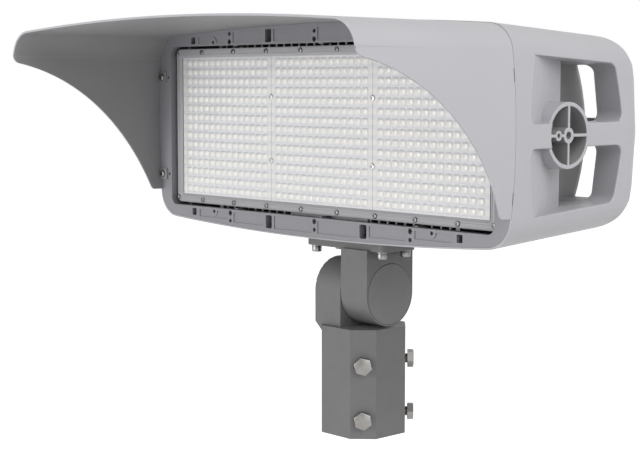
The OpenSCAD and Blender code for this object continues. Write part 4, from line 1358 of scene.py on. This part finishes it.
@dataclass
class Visor(Assembly):
    """The bent sheet over the lens with its four tabs."""

    front: float = -190.0
    rear: float = -5.9
    sheet: float = 2.0
    edge: float = 0.35
    arc_r: float = 221.6
    arc_y: float = -225.5
    arc_z: float = -151.3
    nose_r: float = 8.0
    heel_r: float = 6.0
    drop: float = 69.5
    tab_z: float = 52.5
    tab_h: float = 11.4
    tab_inner: float = 236.5
    tab_fold: float = 245.0
    tab_lap: float = 0.5
    tab_end: float = 1.2
    slit: float = 0.8
    slit_step: float = 0.01
    rear_band: float = 2.5

    def lower_edge(self) -> list[Pair]:
        """Follows the lower edge from its heel to its nose.

        Returns:
            Points of Y and Z.
        """
        nose_y = self.front + self.nose_r
        nose_z = self.arc_z + math.sqrt((self.arc_r + self.nose_r) ** 2
                                        - (nose_y - self.arc_y) ** 2)
        heel_z = self.heel_r - self.drop
        heel_y = self.arc_y + math.sqrt((self.arc_r + self.heel_r) ** 2
                                        - (heel_z - self.arc_z) ** 2)
        nose = math.degrees(math.atan2(nose_z - self.arc_z, nose_y - self.arc_y))
        heel = math.degrees(math.atan2(heel_z - self.arc_z, heel_y - self.arc_y))
        return (swung((heel_y, heel_z), self.heel_r, 270, 180 + heel, 6)
                + swung((self.arc_y, self.arc_z), self.arc_r, heel, nose, 34)[1:-1]
                + swung((nose_y, nose_z), self.nose_r, 180 + nose, 180, 6))

    def stations(self) -> list[tuple[float, float, float, float]]:
        """Lists the sheet's right half, from its lower end to the top's middle.

        Returns:
            X, Z and both ends in Y at each place.
        """
        edge = [(z, y) for y, z in self.lower_edge()]
        steps = []
        for middle in (-self.tab_z, self.tab_z):
            low, high = middle - self.tab_h / 2, middle + self.tab_h / 2
            steps += [(low - self.slit_step, 0.0), (low + self.slit_step, self.slit),
                      (high - self.slit_step, self.slit), (high + self.slit_step, 0.0)]

        def edge_y(z: float) -> float:
            """Finds the lower edge at a height.

            Args:
                z: The height.

            Returns:
                Its place in Y.
            """
            for (z0, y0), (z1, y1) in zip(edge, edge[1:]):
                if z0 <= z <= z1 and z1 > z0:
                    return y0 + (y1 - y0) * (z - z0) / (z1 - z0)
            return self.front

        def cut_back(z: float) -> float:
            """Depth of the slit at a height."""
            return self.slit if abs(abs(z) - self.tab_z) < self.tab_h / 2 else 0.0

        heights = sorted([(z, y, cut_back(z)) for z, y in edge]
                         + [(z, edge_y(z), cut) for z, cut in steps])
        side = [(FORM.side_x(z), z, y, self.rear - cut) for z, y, cut in heights]
        return side + [(x, z, self.front, self.rear) for x, z in FORM.upper_quarter()]

    def sheet_mesh(self) -> BMesh:
        """Makes the bent sheet with its inside on the second slot.

        Returns:
            The mesh in millimetres.
        """
        right = self.stations()
        outer = right + [(-x, z, a, b) for x, z, a, b in reversed(right[:-1])]
        inner = []
        for i, (x, z, a, b) in enumerate(outer):
            before, after = outer[max(i - 1, 0)], outer[min(i + 1, len(outer) - 1)]
            along = Vector((after[0] - before[0], after[1] - before[1])).normalized()
            inner.append((x - along.y * self.sheet, z + along.x * self.sheet, a, b))
        bm = bmesh.new()
        rear, front, inner_rear, inner_front = (
            ring(bm, [(p[0], p[end], p[1]) for p in face])
            for face, end in ((outer, 3), (outer, 2), (inner, 3), (inner, 2)))
        skin(bm, [rear, front], closed=False)
        skin(bm, [inner_front, inner_rear], closed=False, slot=1)
        skin(bm, [front, inner_front], closed=False)
        skin(bm, [inner_rear, rear], closed=False)
        bm.faces.new((rear[0], inner_rear[0], inner_front[0], front[0]))
        bm.faces.new((front[-1], inner_front[-1], inner_rear[-1], rear[-1]))
        return outward(bm)

    def build(self) -> None:
        """Makes the sheet with its tabs; its inside and the tabs carry painted shade."""
        bm = self.sheet_mesh()
        soften(bm, self.edge, 2, 50.0, lambda middle: middle.y < self.rear - self.rear_band)
        legs = ((self.tab_inner, self.tab_fold, self.rear),
                (self.tab_fold - self.tab_lap, FORM.side_x(self.tab_z) - self.tab_end,
                 self.rear - self.slit))
        for sx, sz in CORNERS:
            z0, z1 = sz * self.tab_z - self.tab_h / 2, sz * self.tab_z + self.tab_h / 2
            for near, far, back in legs:
                x0, x1 = sorted((sx * near, sx * far))
                slab(bm, (x0, self.rear - self.sheet, z0), (x1, back, z1), 1)
        # The second slot is the painted shade of the inside and the tabs.
        self.keep(to_object("visor_sheet", bm, TO_HEAD, Finish.VISOR, Finish.VISOR_INSIDE_SHADE,
                            sharp=30.0, even=True), "visor_paint", "visor")


@dataclass
class LensArray(Assembly):
    """The lens panels with their domes, the boards behind them and the frame round them.

    A level of a dome has shares of its width and height and the power of its outline. A point of
    the frame's section has a share of the way inwards and a Y.
    """

    panels: int = 3
    pitch: float = 9.6
    columns: int = 14
    rows: int = 15
    row_share: float = 0.86
    panel_pitch: float = 145.4
    panel: Triple = (145.0, 2.0, 151.0)
    panel_y: float = 3.0
    dome_y: float = 2.0
    dome_h: float = 1.3
    dome_gap: float = 0.15
    dome_levels: tuple[Triple, ...] = ((1.0, 0.0, 5.0), (0.86, 0.42, 4.2), (0.6, 0.8, 3.0),
                                       (0.3, 0.97, 2.2))
    frame_w: float = 454.6
    frame_h: float = 164.4
    window_w: float = 438.0
    window_h: float = 146.0
    frame_r: float = 6.0
    window_r: float = 1.5
    section: tuple[Pair, ...] = ((0.0, 4.0), (0.0, 0.7), (0.07, 0.2), (0.14, 0.0), (0.52, 0.0),
                                 (0.55, 0.45), (0.62, 0.45), (0.65, 0.1), (0.72, 0.15),
                                 (0.94, 1.5), (0.97, 1.7), (1.0, 2.0), (1.0, 4.0))
    board_w: float = 142.0
    board_h: float = 146.0
    board_y: float = 6.4
    board_t: float = 1.6
    board_r: float = 2.0
    core: Triple = (10.0, 0.4, 10.0)
    chips: tuple[tuple[str, float, float, Finish], ...] = (
        ("chips", 3.4, 0.35, Finish.CHIP), ("phosphor", 2.7, 0.6, Finish.PHOSPHOR))

    def dome(self) -> BMesh:
        """Makes one dome with a rounded square foot, along -Y.

        Returns:
            The dome in millimetres.
        """
        bm = bmesh.new()
        half = self.pitch / 2 - self.dome_gap
        rings = []
        for share, rise, power in self.dome_levels:
            points = []
            for i in range(12):
                t = math.radians(30 * i + 15)
                c, s = math.cos(t), math.sin(t)
                r = half * share / (abs(c) ** power + abs(s) ** power) ** (1 / power)
                points.append((r * c, -self.dome_h * rise, r * s * self.row_share))
            rings.append(ring(bm, points))
        skin(bm, rings)
        bm.faces.new(rings[-1])
        return bm

    def chip(self, size: float, height: float) -> BMesh:
        """Makes one square chip part, along -Y.

        Args:
            size: Its width.
            height: Its height.

        Returns:
            The part's mesh.
        """
        bm = bmesh.new()
        slab(bm, (-size / 2, -height, -size / 2), (size / 2, 0.0, size / 2))
        return bm

    def in_rows(self, name: str, model: bpy.types.Object, finish: Finish, at: Pair,
                plate_y: float, plate: Triple, sharp: float = 40.0) -> bpy.types.Object:
        """Sets a model in rows and columns in front of a plate.

        Args:
            name: Name of the piece.
            model: The model.
            finish: Finish of the piece.
            at: X and Y of the grid's middle.
            plate_y: Y of the plate's middle.
            plate: Size of the plate.
            sharp: Edges sharper than this angle in degrees stay sharp.

        Returns:
            The piece.
        """
        return array_tree().grow(
            name, model, finish, sharp, Columns=self.columns, Rows=self.rows,
            Pitch=self.pitch * MM, Middle=TO_HEAD @ Vector((*at, 0)),
            Plate_at=TO_HEAD @ Vector((at[0], plate_y, 0)), Plate=tuple(v * MM for v in plate))

    def build_panel(self, node: str, x: float) -> None:
        """Makes a lens panel.

        Args:
            node: Node that it stands for.
            x: Its middle.
        """
        self.keep(self.in_rows(node + "_panel", model_object("dome_model", self.dome(), 60.0),
                               Finish.LENS, (x, self.dome_y), self.panel_y, self.panel, 60.0),
                  "lens_clear", node)

    def build_board(self, node: str, x: float) -> None:
        """Makes a white board with its rows of chips.

        Args:
            node: Node that it stands for.
            x: Its middle.
        """
        bm = bmesh.new()
        outline = round_corners(self.board_w, self.board_h, self.board_r)
        prism(bm, [ring(bm, [(px + x, y, pz) for px, pz in outline])
                   for y in (self.board_y, self.board_y + self.board_t)])
        self.keep(to_object(node + "_plate", outward(bm), TO_HEAD, Finish.BOARD),
                  "board_white", node)
        for what, size, height, finish in self.chips:
            self.keep(self.in_rows("%s_%s" % (node, what),
                                   model_object(what + "_model", self.chip(size, height)),
                                   finish, (x, self.board_y), self.board_y + self.board_t / 2,
                                   self.core), "board_white")

    def build_frame(self) -> None:
        """Makes the stepped frame round the lens."""
        bm = bmesh.new()
        outer = Vector((self.frame_w, self.frame_h, self.frame_r))
        inner = Vector((self.window_w, self.window_h, self.window_r))
        rings = []
        for share, y in self.section:
            points = round_corners(*outer.lerp(inner, share))
            rings.append(ring(bm, [(x, y, z) for x, z in points]))
        skin(bm, rings + [rings[0]])
        self.keep(to_object("lens_frame_rim", outward(bm), TO_HEAD, Finish.LENS_FRAME,
                            sharp=28.0), "bezel_paint", "lens_frame")

    def build(self) -> None:
        """Makes the boards, the panels and the frame."""
        for node, make in (("led_board_%d", self.build_board), ("lens_%d", self.build_panel)):
            for i in range(self.panels):
                make(node % (i + 1), (i - (self.panels - 1) / 2) * self.panel_pitch)
        self.build_frame()


@dataclass
class Fasteners(Assembly):
    """Every visible screw and washer of the head, set by one tree.

    A head has a radius and a height, and a cap screw also the width of its socket and a shank.
    Each place is one corner's, in the head's millimetres, and the others mirror it.
    """

    screw_row: float = 78.4
    row_pitch: float = 52.15
    row_count: int = 8
    frame_head: Pair = (2.6, 1.6)
    frame_corner: Triple = (224.8, 0.0, 77.2)
    seam_head: Pair = (3.0, 1.4)
    seam: Triple = (72.7, 2.0, 32.1)
    bezel_screw: Four = (2.5, 2.4, 2.5, 8.0)
    bezel: Triple = (129.5, -2.3, 88.6)
    tab_head: Pair = (3.9, 2.4)
    tab: Triple = (243.0, -7.95, 52.5)
    flange_screw: Four = (5.0, 6.0, 5.0, 20.0)
    flange: Triple = (47.0, 16.5, 44.7)
    flange_shift: float = 4.8
    washer_r: Triple = (3.3, 5.35, 5.5)
    washer_t: float = 1.2
    washer_edge: float = 0.15
    cover_screw: Four = (3.5, 3.2, 3.0, 12.0)
    cover: Triple = (82.0, 179.6, 53.0)

    def pan_head(self, radius: float, height: float) -> bpy.types.Object:
        """Makes a pan head with a cross recess and a short shank.

        Args:
            radius: Radius of the head.
            height: Its height.

        Returns:
            The model.
        """
        bm = bmesh.new()
        rings = lathe(bm, [(radius * 0.55, -8.0), (radius * 0.55, 0.0), (radius, 0.0),
                           (radius, height * 0.45), (radius * 0.95, height * 0.7),
                           (radius * 0.84, height * 0.9), (radius * 0.7, height)], 24)
        bm.faces.new(rings[0][::-1])
        sunk(bm, rings[-1], cross(radius * 0.58, radius * 0.15), height, height * 0.6)
        return model_object("pan_head_model", outward(bm), 30.0)

    def socket_head(self, radius: float, height: float, across: float, shank: float
                    ) -> bpy.types.Object:
        """Makes a cap screw with a hexagonal socket.

        Args:
            radius: Radius of the head.
            height: Its height.
            across: Width of the socket across flats.
            shank: Length of the shank.

        Returns:
            The model.
        """
        bm = bmesh.new()
        rings = lathe(bm, [(radius * 0.6, -shank), (radius * 0.6, 0.0), (radius * 0.97, 0.0),
                           (radius, height * 0.04), (radius, height * 0.86),
                           (radius * 0.96, height * 0.96), (radius * 0.9, height)])
        bm.faces.new(rings[0][::-1])
        sunk(bm, rings[-1], hexagon(across), height, height * 0.55)
        return model_object("socket_head_model", outward(bm), 30.0)

    def washer(self) -> bpy.types.Object:
        """Makes a washer of the flange screws.

        Returns:
            The model.
        """
        bm = bmesh.new()
        hole, flat, rim = self.washer_r
        low, high = self.washer_edge, self.washer_t - self.washer_edge
        collar(bm, [(hole, 0.0), (flat, 0.0), (rim, low), (rim, high), (flat, self.washer_t),
                    (hole, self.washer_t)])
        return model_object("washer_model", outward(bm))

    def set_out(self, node: str, model: bpy.types.Object, places: Sequence[Triple], aim: Triple,
                spin: float = 0.0, seed: int = 7, finish: Finish = Finish.STEEL) -> None:
        """Sets a model on places and keeps the result as one piece.

        Args:
            node: CAD node that holds these screws or washers.
            model: The model, along Z.
            places: Where they sit, in the head's millimetres.
            aim: Direction that they point in.
            spin: Greatest turn about the axis, in radians.
            seed: Seed of the turns.
            finish: Finish of the piece.
        """
        name = node.removesuffix("s") + "_set"
        base = bpy.data.meshes.new(name + "_places")
        base.from_pydata([tuple(TO_HEAD @ Vector(p)) for p in places], [], [])
        for item in base.attributes.new("aim", "FLOAT_VECTOR", "POINT").data:
            item.vector = aim
        piece = spread_tree().grow(name, model, finish, 35.0, base, Spin=spin, Seed=seed)
        self.keep(piece, "stainless", node)

    def four(self, spot: Triple) -> list[Triple]:
        """The places that mirror a spot to the four corners."""
        return [(sx * spot[0], spot[1], sz * spot[2]) for sx, sz in CORNERS]

    def six(self, spot: Triple) -> list[Triple]:
        """The places that mirror a spot to the four corners, and those midway between them."""
        return [(k * spot[0], spot[1], s * spot[2]) for k in (-1, 0, 1) for s in SIDES]

    def build_front(self) -> None:
        """Makes the screws of the lens frame, the lens seams, the bezel and the visor's tabs."""
        xs = [(i - (self.row_count - 1) / 2) * self.row_pitch for i in range(self.row_count)]
        places = [(x, 0.0, s * self.screw_row) for x in xs for s in SIDES]
        self.set_out("lens_frame_screws", self.pan_head(*self.frame_head),
                     places + self.four(self.frame_corner), FORWARD, 1.5, 3)
        self.set_out("lens_seam_screws", self.pan_head(*self.seam_head), self.four(self.seam),
                     FORWARD, 1.5, 5, Finish.PALE_STEEL)
        # The bezel screws' dark steel is painted shade of their recesses.
        self.set_out("bezel_screws", self.socket_head(*self.bezel_screw), self.six(self.bezel),
                     FORWARD, 1.0, 11, Finish.STEEL_IN_PAINTED_SHADE)
        self.set_out("visor_screws", self.pan_head(*self.tab_head), self.four(self.tab),
                     FORWARD, 1.5, 4)

    def build_flange(self) -> None:
        """Makes the cap screws and washers under the knuckle's flange."""
        wide, deep, lift = self.flange
        under = -HEAD_LIFT + lift
        spots = [(sx * wide, AXIS_BACK - self.flange_shift + sy * deep) for sx, sy in CORNERS]
        self.set_out("flange_screws", self.socket_head(*self.flange_screw),
                     [(x, y, under - self.washer_t) for x, y in spots], DOWN, 1.0, 2)
        self.set_out("flange_washers", self.washer(), [(x, y, under) for x, y in spots], DOWN)

    def build(self) -> None:
        """Makes the screws in front and below, dresses the inner ones and makes the rest."""
        self.build_front()
        self.build_flange()
        self.dress(Finish.STEEL, "cover_screws", "frame_screws")
        self.set_out("driver_cover_screws", self.socket_head(*self.cover_screw),
                     self.six(self.cover), BACKWARD, 1.0, 8)


@dataclass
class HeatSink(Assembly):
    """The cast plate and its row of upright fins."""

    pitch: float = 11.4
    fins: int = 29
    root_t: float = 2.2
    tip_t: float = 1.5
    taper_run: float = 172.0
    inset: float = 4.6
    foot_y: float = 15.5
    end_y: float = 186.1
    notch_y: float = 96.8
    notch_z: float = 63.0
    cut_fins: int = 17
    crown_reach: float = 224.5

    def fin(self, notched: bool) -> bpy.types.Object:
        """Makes one fin at the middle of the head, thinner towards its back edge.

        Args:
            notched: Whether it leaves room for the driver box.

        Returns:
            The fin as a model.
        """
        foot_z = FORM.height / 2 - self.inset - FORM.slant * (self.foot_y - FORM.face_y)
        edge = [(y, z) for y, z in FORM.fin_edge(self.inset) if y < self.end_y]
        upper = [(self.foot_y, foot_z)] + edge
        if notched:
            upper = [p for p in upper if p[1] > self.notch_z + 2]
            y_end = (math.sqrt((FORM.back_r - self.inset) ** 2 - self.notch_z ** 2)
                     + FORM.face_y + FORM.depth - FORM.back_r)
            upper += [(y_end, self.notch_z), (self.notch_y, self.notch_z), (self.notch_y, 0.0)]
        outline = upper + [(y, -z) for y, z in reversed(upper) if z > 0.01]

        def half(y: float) -> float:
            """Half the fin's thickness at a depth."""
            return (self.root_t - (self.root_t - self.tip_t) * (y - self.foot_y)
                    / self.taper_run) / 2

        bm = bmesh.new()
        prism(bm, [ring(bm, [(sx * half(y), y, z) for y, z in outline]) for sx in SIDES])
        return to_object("fin_model", outward(bm), TO_HEAD, sharp=30.0)

    def build(self) -> None:
        """Makes the fins beside and behind the driver box and dresses the plate."""
        side = (self.fins - self.cut_fins) // 2
        first = -(self.fins - 1) / 2
        for name, count, skipped, notched in (("left", side, 0, False),
                                              ("middle", self.cut_fins, side, True),
                                              ("right", side, side + self.cut_fins, False)):
            # The fins' cast finish carries painted shade for the slots they are seen through.
            piece = fin_tree().grow(
                "fins_" + name, self.fin(notched), Finish.CAST_WITH_SLOT_SHADE, 30.0, Count=count,
                Pitch=self.pitch * MM, First=(first + skipped) * self.pitch * MM,
                Crown=FORM.crown * MM, Reach=self.crown_reach * MM,
                Height=FORM.height / 2 * MM, Middle=(AXIS_H + HEAD_LIFT) * MM)
            self.keep(piece, "cast_aluminium", "heat_sink_fins")
        self.dress(Finish.CAST_WITH_SLOT_SHADE, "heat_sink_plate")
        self.dress(Finish.RUBBER, "lens_gasket", "knuckle_gasket")


@dataclass
class DriverBay(Assembly):
    """The driver box in the back with its cover, gland and breather.

    The gland's hexagon has a width across flats, a height, a base and a bore.
    """

    edge: float = 0.8
    gland_at: Triple = (-52.0, 190.3, -34.0)
    gland_hex: Four = (22.0, 6.0, 0.0, 4.0)
    gland_plug: tuple[Pair, ...] = ((4.0, -12.0), (8.0, -12.0), (8.0, 1.0), (4.0, 1.0))
    rib: float = 0.97
    rib_r: float = 8.5
    dome_nut: tuple[Pair, ...] = ((9.0, 6.0), (9.6, 6.2), (9.6, 12.5), (9.0, 14.4), (7.2, 16.0),
                                  (4.0, 16.0), (4.0, 6.0))
    breather_at: Triple = (52.0, 190.6, -34.0)
    cap: tuple[Pair, ...] = ((9.0, 0.0), (9.0, 1.1), (9.0, 1.3), (9.0, 3.3), (9.0, 3.5),
                             (8.8, 4.1), (8.2, 4.5))
    cap_plug: tuple[Pair, ...] = ((0, -10.0), (6.0, -10.0), (6.0, 0.2), (0, 0.2))
    slot_z: Pair = (1.2, 3.4)
    slot_depth: float = 1.2

    def keep_black(self, node: str, suffix: str, bm: BMesh, at: Triple) -> None:
        """Keeps a black piece that points backwards from a place on the cover."""
        piece = to_object(node + suffix, outward(bm), TO_HEAD @ aimed(BACKWARD, at), Finish.BLACK)
        self.keep(piece, "black_plastic", node)

    def build_gland(self) -> None:
        """Makes the cable gland: hexagon, ribbed dome nut and seal."""
        bm = bmesh.new()
        hex_prism(bm, *self.gland_hex)
        collar(bm, self.dome_nut, 48,
               lambda i, r, _: r * self.rib if i % 2 and r > self.rib_r else r)
        collar(bm, self.gland_plug)
        self.keep_black("cable_gland", "_body", bm, self.gland_at)

    def build_breather(self) -> None:
        """Makes the breather valve: a capped plug with slots round its rim."""
        bm = bmesh.new()
        low, high = self.slot_z
        rings = lathe(bm, self.cap, 48, lambda i, r, z: (
            r - self.slot_depth if low < z < high and i % 6 < 2 else r))
        bm.faces.new(rings[0][::-1])
        bm.faces.new(rings[-1])
        lathe(bm, self.cap_plug, 28)
        self.keep_black("breather_valve", "_cap", bm, self.breather_at)

    def build(self) -> None:
        """Makes the box, its curved cover, the gland and the breather and dresses the rest."""
        self.round_off("driver_box", "_shell", self.edge, "cast_aluminium", Finish.CAST_WITH_SLOT_SHADE)
        self.round_off("driver_cover", "_shell", self.edge, "housing_paint", Finish.HOUSING)
        self.dress(Finish.RUBBER, "driver_cover_gasket")
        self.dress(Finish.CASE, "driver_right", "driver_left")
        self.dress(Finish.RED, "surge_protector")
        self.dress(Finish.IVORY, "terminal_block")
        self.build_gland()
        self.build_breather()


@dataclass
class Knuckle(Assembly):
    """The tilting knuckle, its cap and pivot bolt, and the slip fitter with its clamp bolts.

    A head or nut has a width across flats, a height, a base and a bore, and a thread has a
    radius, both its ends and a pitch.
    """

    edge: float = 1.1
    outer_x: float = 37.3
    cap: tuple[Pair, ...] = ((0, -2.1), (30.3, -2.1), (30.5, -1.9), (30.5, -0.1), (30.35, 0.22),
                             (30.0, 0.36), (29.4, 0.4), (0, 0.4))
    pivot_head: Triple = (18.0, 7.5, 26.6)
    pivot_shank: tuple[Pair, ...] = ((0, -2.0), (6.0, -2.0), (6.0, 27.0), (0, 27.0))
    pivot_thread: Four = (6.0, -36.7, -2.0, 1.75)
    pivot_nut: Four = (19.0, 10.0, -35.3, 6.05)
    washer: tuple[Pair, ...] = ((6.25, 24.05), (11.8, 24.05), (12.0, 24.25), (12.0, 26.35),
                                (11.8, 26.55), (6.25, 26.55))
    fitter_w: float = 78.0
    fitter_corner: float = 18.3
    clamp_boss: float = 2.3
    clamp_head: Pair = (16.0, 6.4)
    clamp_thread: Four = (5.0, -13.0, 0.0, 1.3)
    clamp_z: Pair = (19.7, 74.4)
    clamp_turn: Four = (9.0, 24.0, 15.0, 40.0)

    def keep_steel(self, node: str, bm: BMesh, place: Matrix, body: str,
                   sharp: float = 30.0) -> None:
        """Keeps a steel piece that stands for a node and rides on a body."""
        piece = to_object(node + "_steel", outward(bm), place, Finish.STEEL, sharp=sharp)
        self.keep(piece, "stainless", node, body=body)

    def build_cap(self) -> None:
        """Makes the round cap over the pivot bolt."""
        bm = bmesh.new()
        lathe(bm, self.cap, 96)
        place = TO_AXIS @ aimed((1, 0, 0), (self.outer_x, 0, 0))
        # The cap's lighter finish is painted light against the head's shadow.
        self.keep(to_object("pivot_cap_disc", outward(bm), place, Finish.CAP, sharp=60.0),
                  "knuckle_paint", "pivot_cap")

    def build_pivot(self) -> None:
        """Makes the pivot bolt with its washer and nut."""
        place = TO_AXIS @ aimed((1, 0, 0))
        bm = bmesh.new()
        hex_prism(bm, *self.pivot_head)
        lathe(bm, self.pivot_shank, 40)
        threaded(bm, *self.pivot_thread)
        self.keep_steel("pivot_bolt", bm, place, "base")
        bm = bmesh.new()
        collar(bm, self.washer, 48)
        self.keep_steel("pivot_washer", bm, place, "base", 40.0)
        bm = bmesh.new()
        hex_prism(bm, *self.pivot_nut, both=True)
        self.keep_steel("pivot_nut", bm, place, "base")

    def build_clamp_bolts(self) -> None:
        """Makes the four clamp bolts, each on its own body."""
        seat = (self.fitter_w - self.fitter_corner) / math.sqrt(2) + self.clamp_boss
        for i, turn in enumerate(self.clamp_turn):
            angle = math.radians(45 if i % 2 else -45)
            axis = (math.cos(angle), math.sin(angle), 0.0)
            at = (axis[0] * seat, axis[1] * seat, self.clamp_z[i // 2])
            bm = bmesh.new()
            hex_prism(bm, *self.clamp_head)
            threaded(bm, *self.clamp_thread)
            name = "clamp_bolt_%d" % (i + 1)
            self.keep_steel(name, bm, TO_ROW @ aimed(axis, at, turn), name)

    def build(self) -> None:
        """Makes the upper half with its flange, the slip fitter, the cap and the bolts."""
        for node, body in (("knuckle_upper", "head"), ("slip_fitter", "base")):
            self.round_off(node, "_casting", self.edge, "knuckle_paint", Finish.KNUCKLE, 3, body)
        self.build_cap()
        self.build_pivot()
        self.build_clamp_bolts()


# ---------------------------------------------------------------- studio

def seen_directly(tree: bpy.types.NodeTree) -> Socket:
    """Adds nodes that find the rays from the camera, also by mirrors or glass.

    Args:
        tree: Tree of a material or the world.

    Returns:
        A socket that is 1 for such a ray and 0 for any other.
    """
    path = tree.nodes.new("ShaderNodeLightPath")
    seen = path.outputs["Is Camera Ray"]
    for other in ("Is Glossy Ray", "Is Transmission Ray"):
        join = tree.nodes.new("ShaderNodeMath")
        join.operation = "MAXIMUM"
        plug(tree, join, {0: seen, 1: path.outputs[other]})
        seen = join.outputs[0]
    return seen


@dataclass
class Studio:
    """The plain studio: camera, lamps, world and floor; a lamp has a place, a width and a power."""

    camera_at: Triple = (1.0478, -1.0286, 0.3526)
    azimuth: float = 47.261
    pitch: float = 5.525
    lens: float = 82.10
    sensor: float = 36.0
    sight: float = 50.0
    target: Triple = (0.0, -0.05, 0.25)
    floor_z: float = -0.30
    floor_reach: float = 12.0
    floor_grey: float = 0.72
    floor_glow: float = 0.8
    fill: float = 0.32
    lamps: tuple[tuple[str, Triple, float, float], ...] = (
        ("key", (2.15, -0.45, 1.95), 2.6, 66.0), ("front", (-0.7, -2.6, 0.45), 1.4, 37.0),
        ("side", (2.5, -0.7, 0.3), 1.8, 9.0))

    def set_camera(self) -> None:
        """Sets the camera at the photograph's angle."""
        data = bpy.data.cameras.new("camera")
        data.lens = self.lens
        data.sensor_width = self.sensor
        data.clip_end = self.sight
        camera = put("camera", data)
        az, p = math.radians(self.azimuth), math.radians(self.pitch)
        look = (-math.sin(az) * math.cos(p), math.cos(az) * math.cos(p), -math.sin(p))
        camera.matrix_world = aimed(look, self.camera_at, track="-Z")
        bpy.context.scene.camera = camera

    def add_lamp(self, name: str, at: Triple, size: float, watts: float) -> None:
        """Adds a soft square lamp that points at the head.

        Args:
            name: Name of the lamp.
            at: Its place.
            size: Its width.
            watts: Its power.
        """
        data = bpy.data.lights.new(name, "AREA")
        data.shape = "SQUARE"
        data.size = size
        data.energy = watts
        aim = tuple(Vector(self.target) - Vector(at))
        put(name, data).matrix_world = aimed(aim, at, track="-Z")

    def light_world(self) -> None:
        """Lights the scene by an even world that shows as white."""
        world = bpy.data.worlds.new("studio")
        bpy.context.scene.world = world
        world.use_nodes = True
        tree = world.node_tree
        level = tree.nodes.new("ShaderNodeMapRange")
        plug(tree, level, {"Value": seen_directly(tree), "To Min": self.fill, "To Max": 1.0})
        plug(tree, tree.nodes["Background"], {"Color": (1, 1, 1, 1), "Strength": level.outputs[0]})

    def paper(self) -> bpy.types.Material:
        """Makes the pale paper of the floor, which glows where it is seen directly.

        Returns:
            The material.
        """
        surface = Surface("floor_paper", (self.floor_grey,) * 3, 0.9)
        tree = surface.tree
        level, glow, both = (tree.nodes.new("ShaderNode" + kind)
                             for kind in ("Math", "Emission", "AddShader"))
        level.operation = "MULTIPLY"
        plug(tree, level, {0: seen_directly(tree), 1: self.floor_glow})
        plug(tree, glow, {"Strength": level.outputs[0]})
        plug(tree, both, {0: surface.shader.outputs[0], 1: glow.outputs[0]})
        plug(tree, tree.nodes["Material Output"], {"Surface": both.outputs[0]})
        return surface.material

    def lay_floor(self) -> None:
        """Lays the pale floor, which keeps the light's shadow."""
        bm = bmesh.new()
        bmesh.ops.create_grid(bm, x_segments=2, y_segments=2, size=self.floor_reach)
        floor = put("floor", baked("floor", bm))
        floor.location.z = self.floor_z
        floor.data.materials.append(self.paper())

    def build(self) -> None:
        """Builds the studio."""
        self.set_camera()
        self.light_world()
        self.lay_floor()
        for lamp in self.lamps:
            self.add_lamp(*lamp)
        bpy.context.scene.view_settings.view_transform = "Standard"


def main() -> None:
    """Builds the light's sub-assemblies in order and reports each piece."""
    logging.basicConfig(level=logging.INFO, format="%(name)s %(message)s")
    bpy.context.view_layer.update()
    Studio().build()
    for assembly in (Housing(), Visor(), LensArray(), HeatSink(), Fasteners(), DriverBay(),
                     Knuckle()):
        assembly.build()
        assembly.report()


if __name__ == "__main__":
    main()
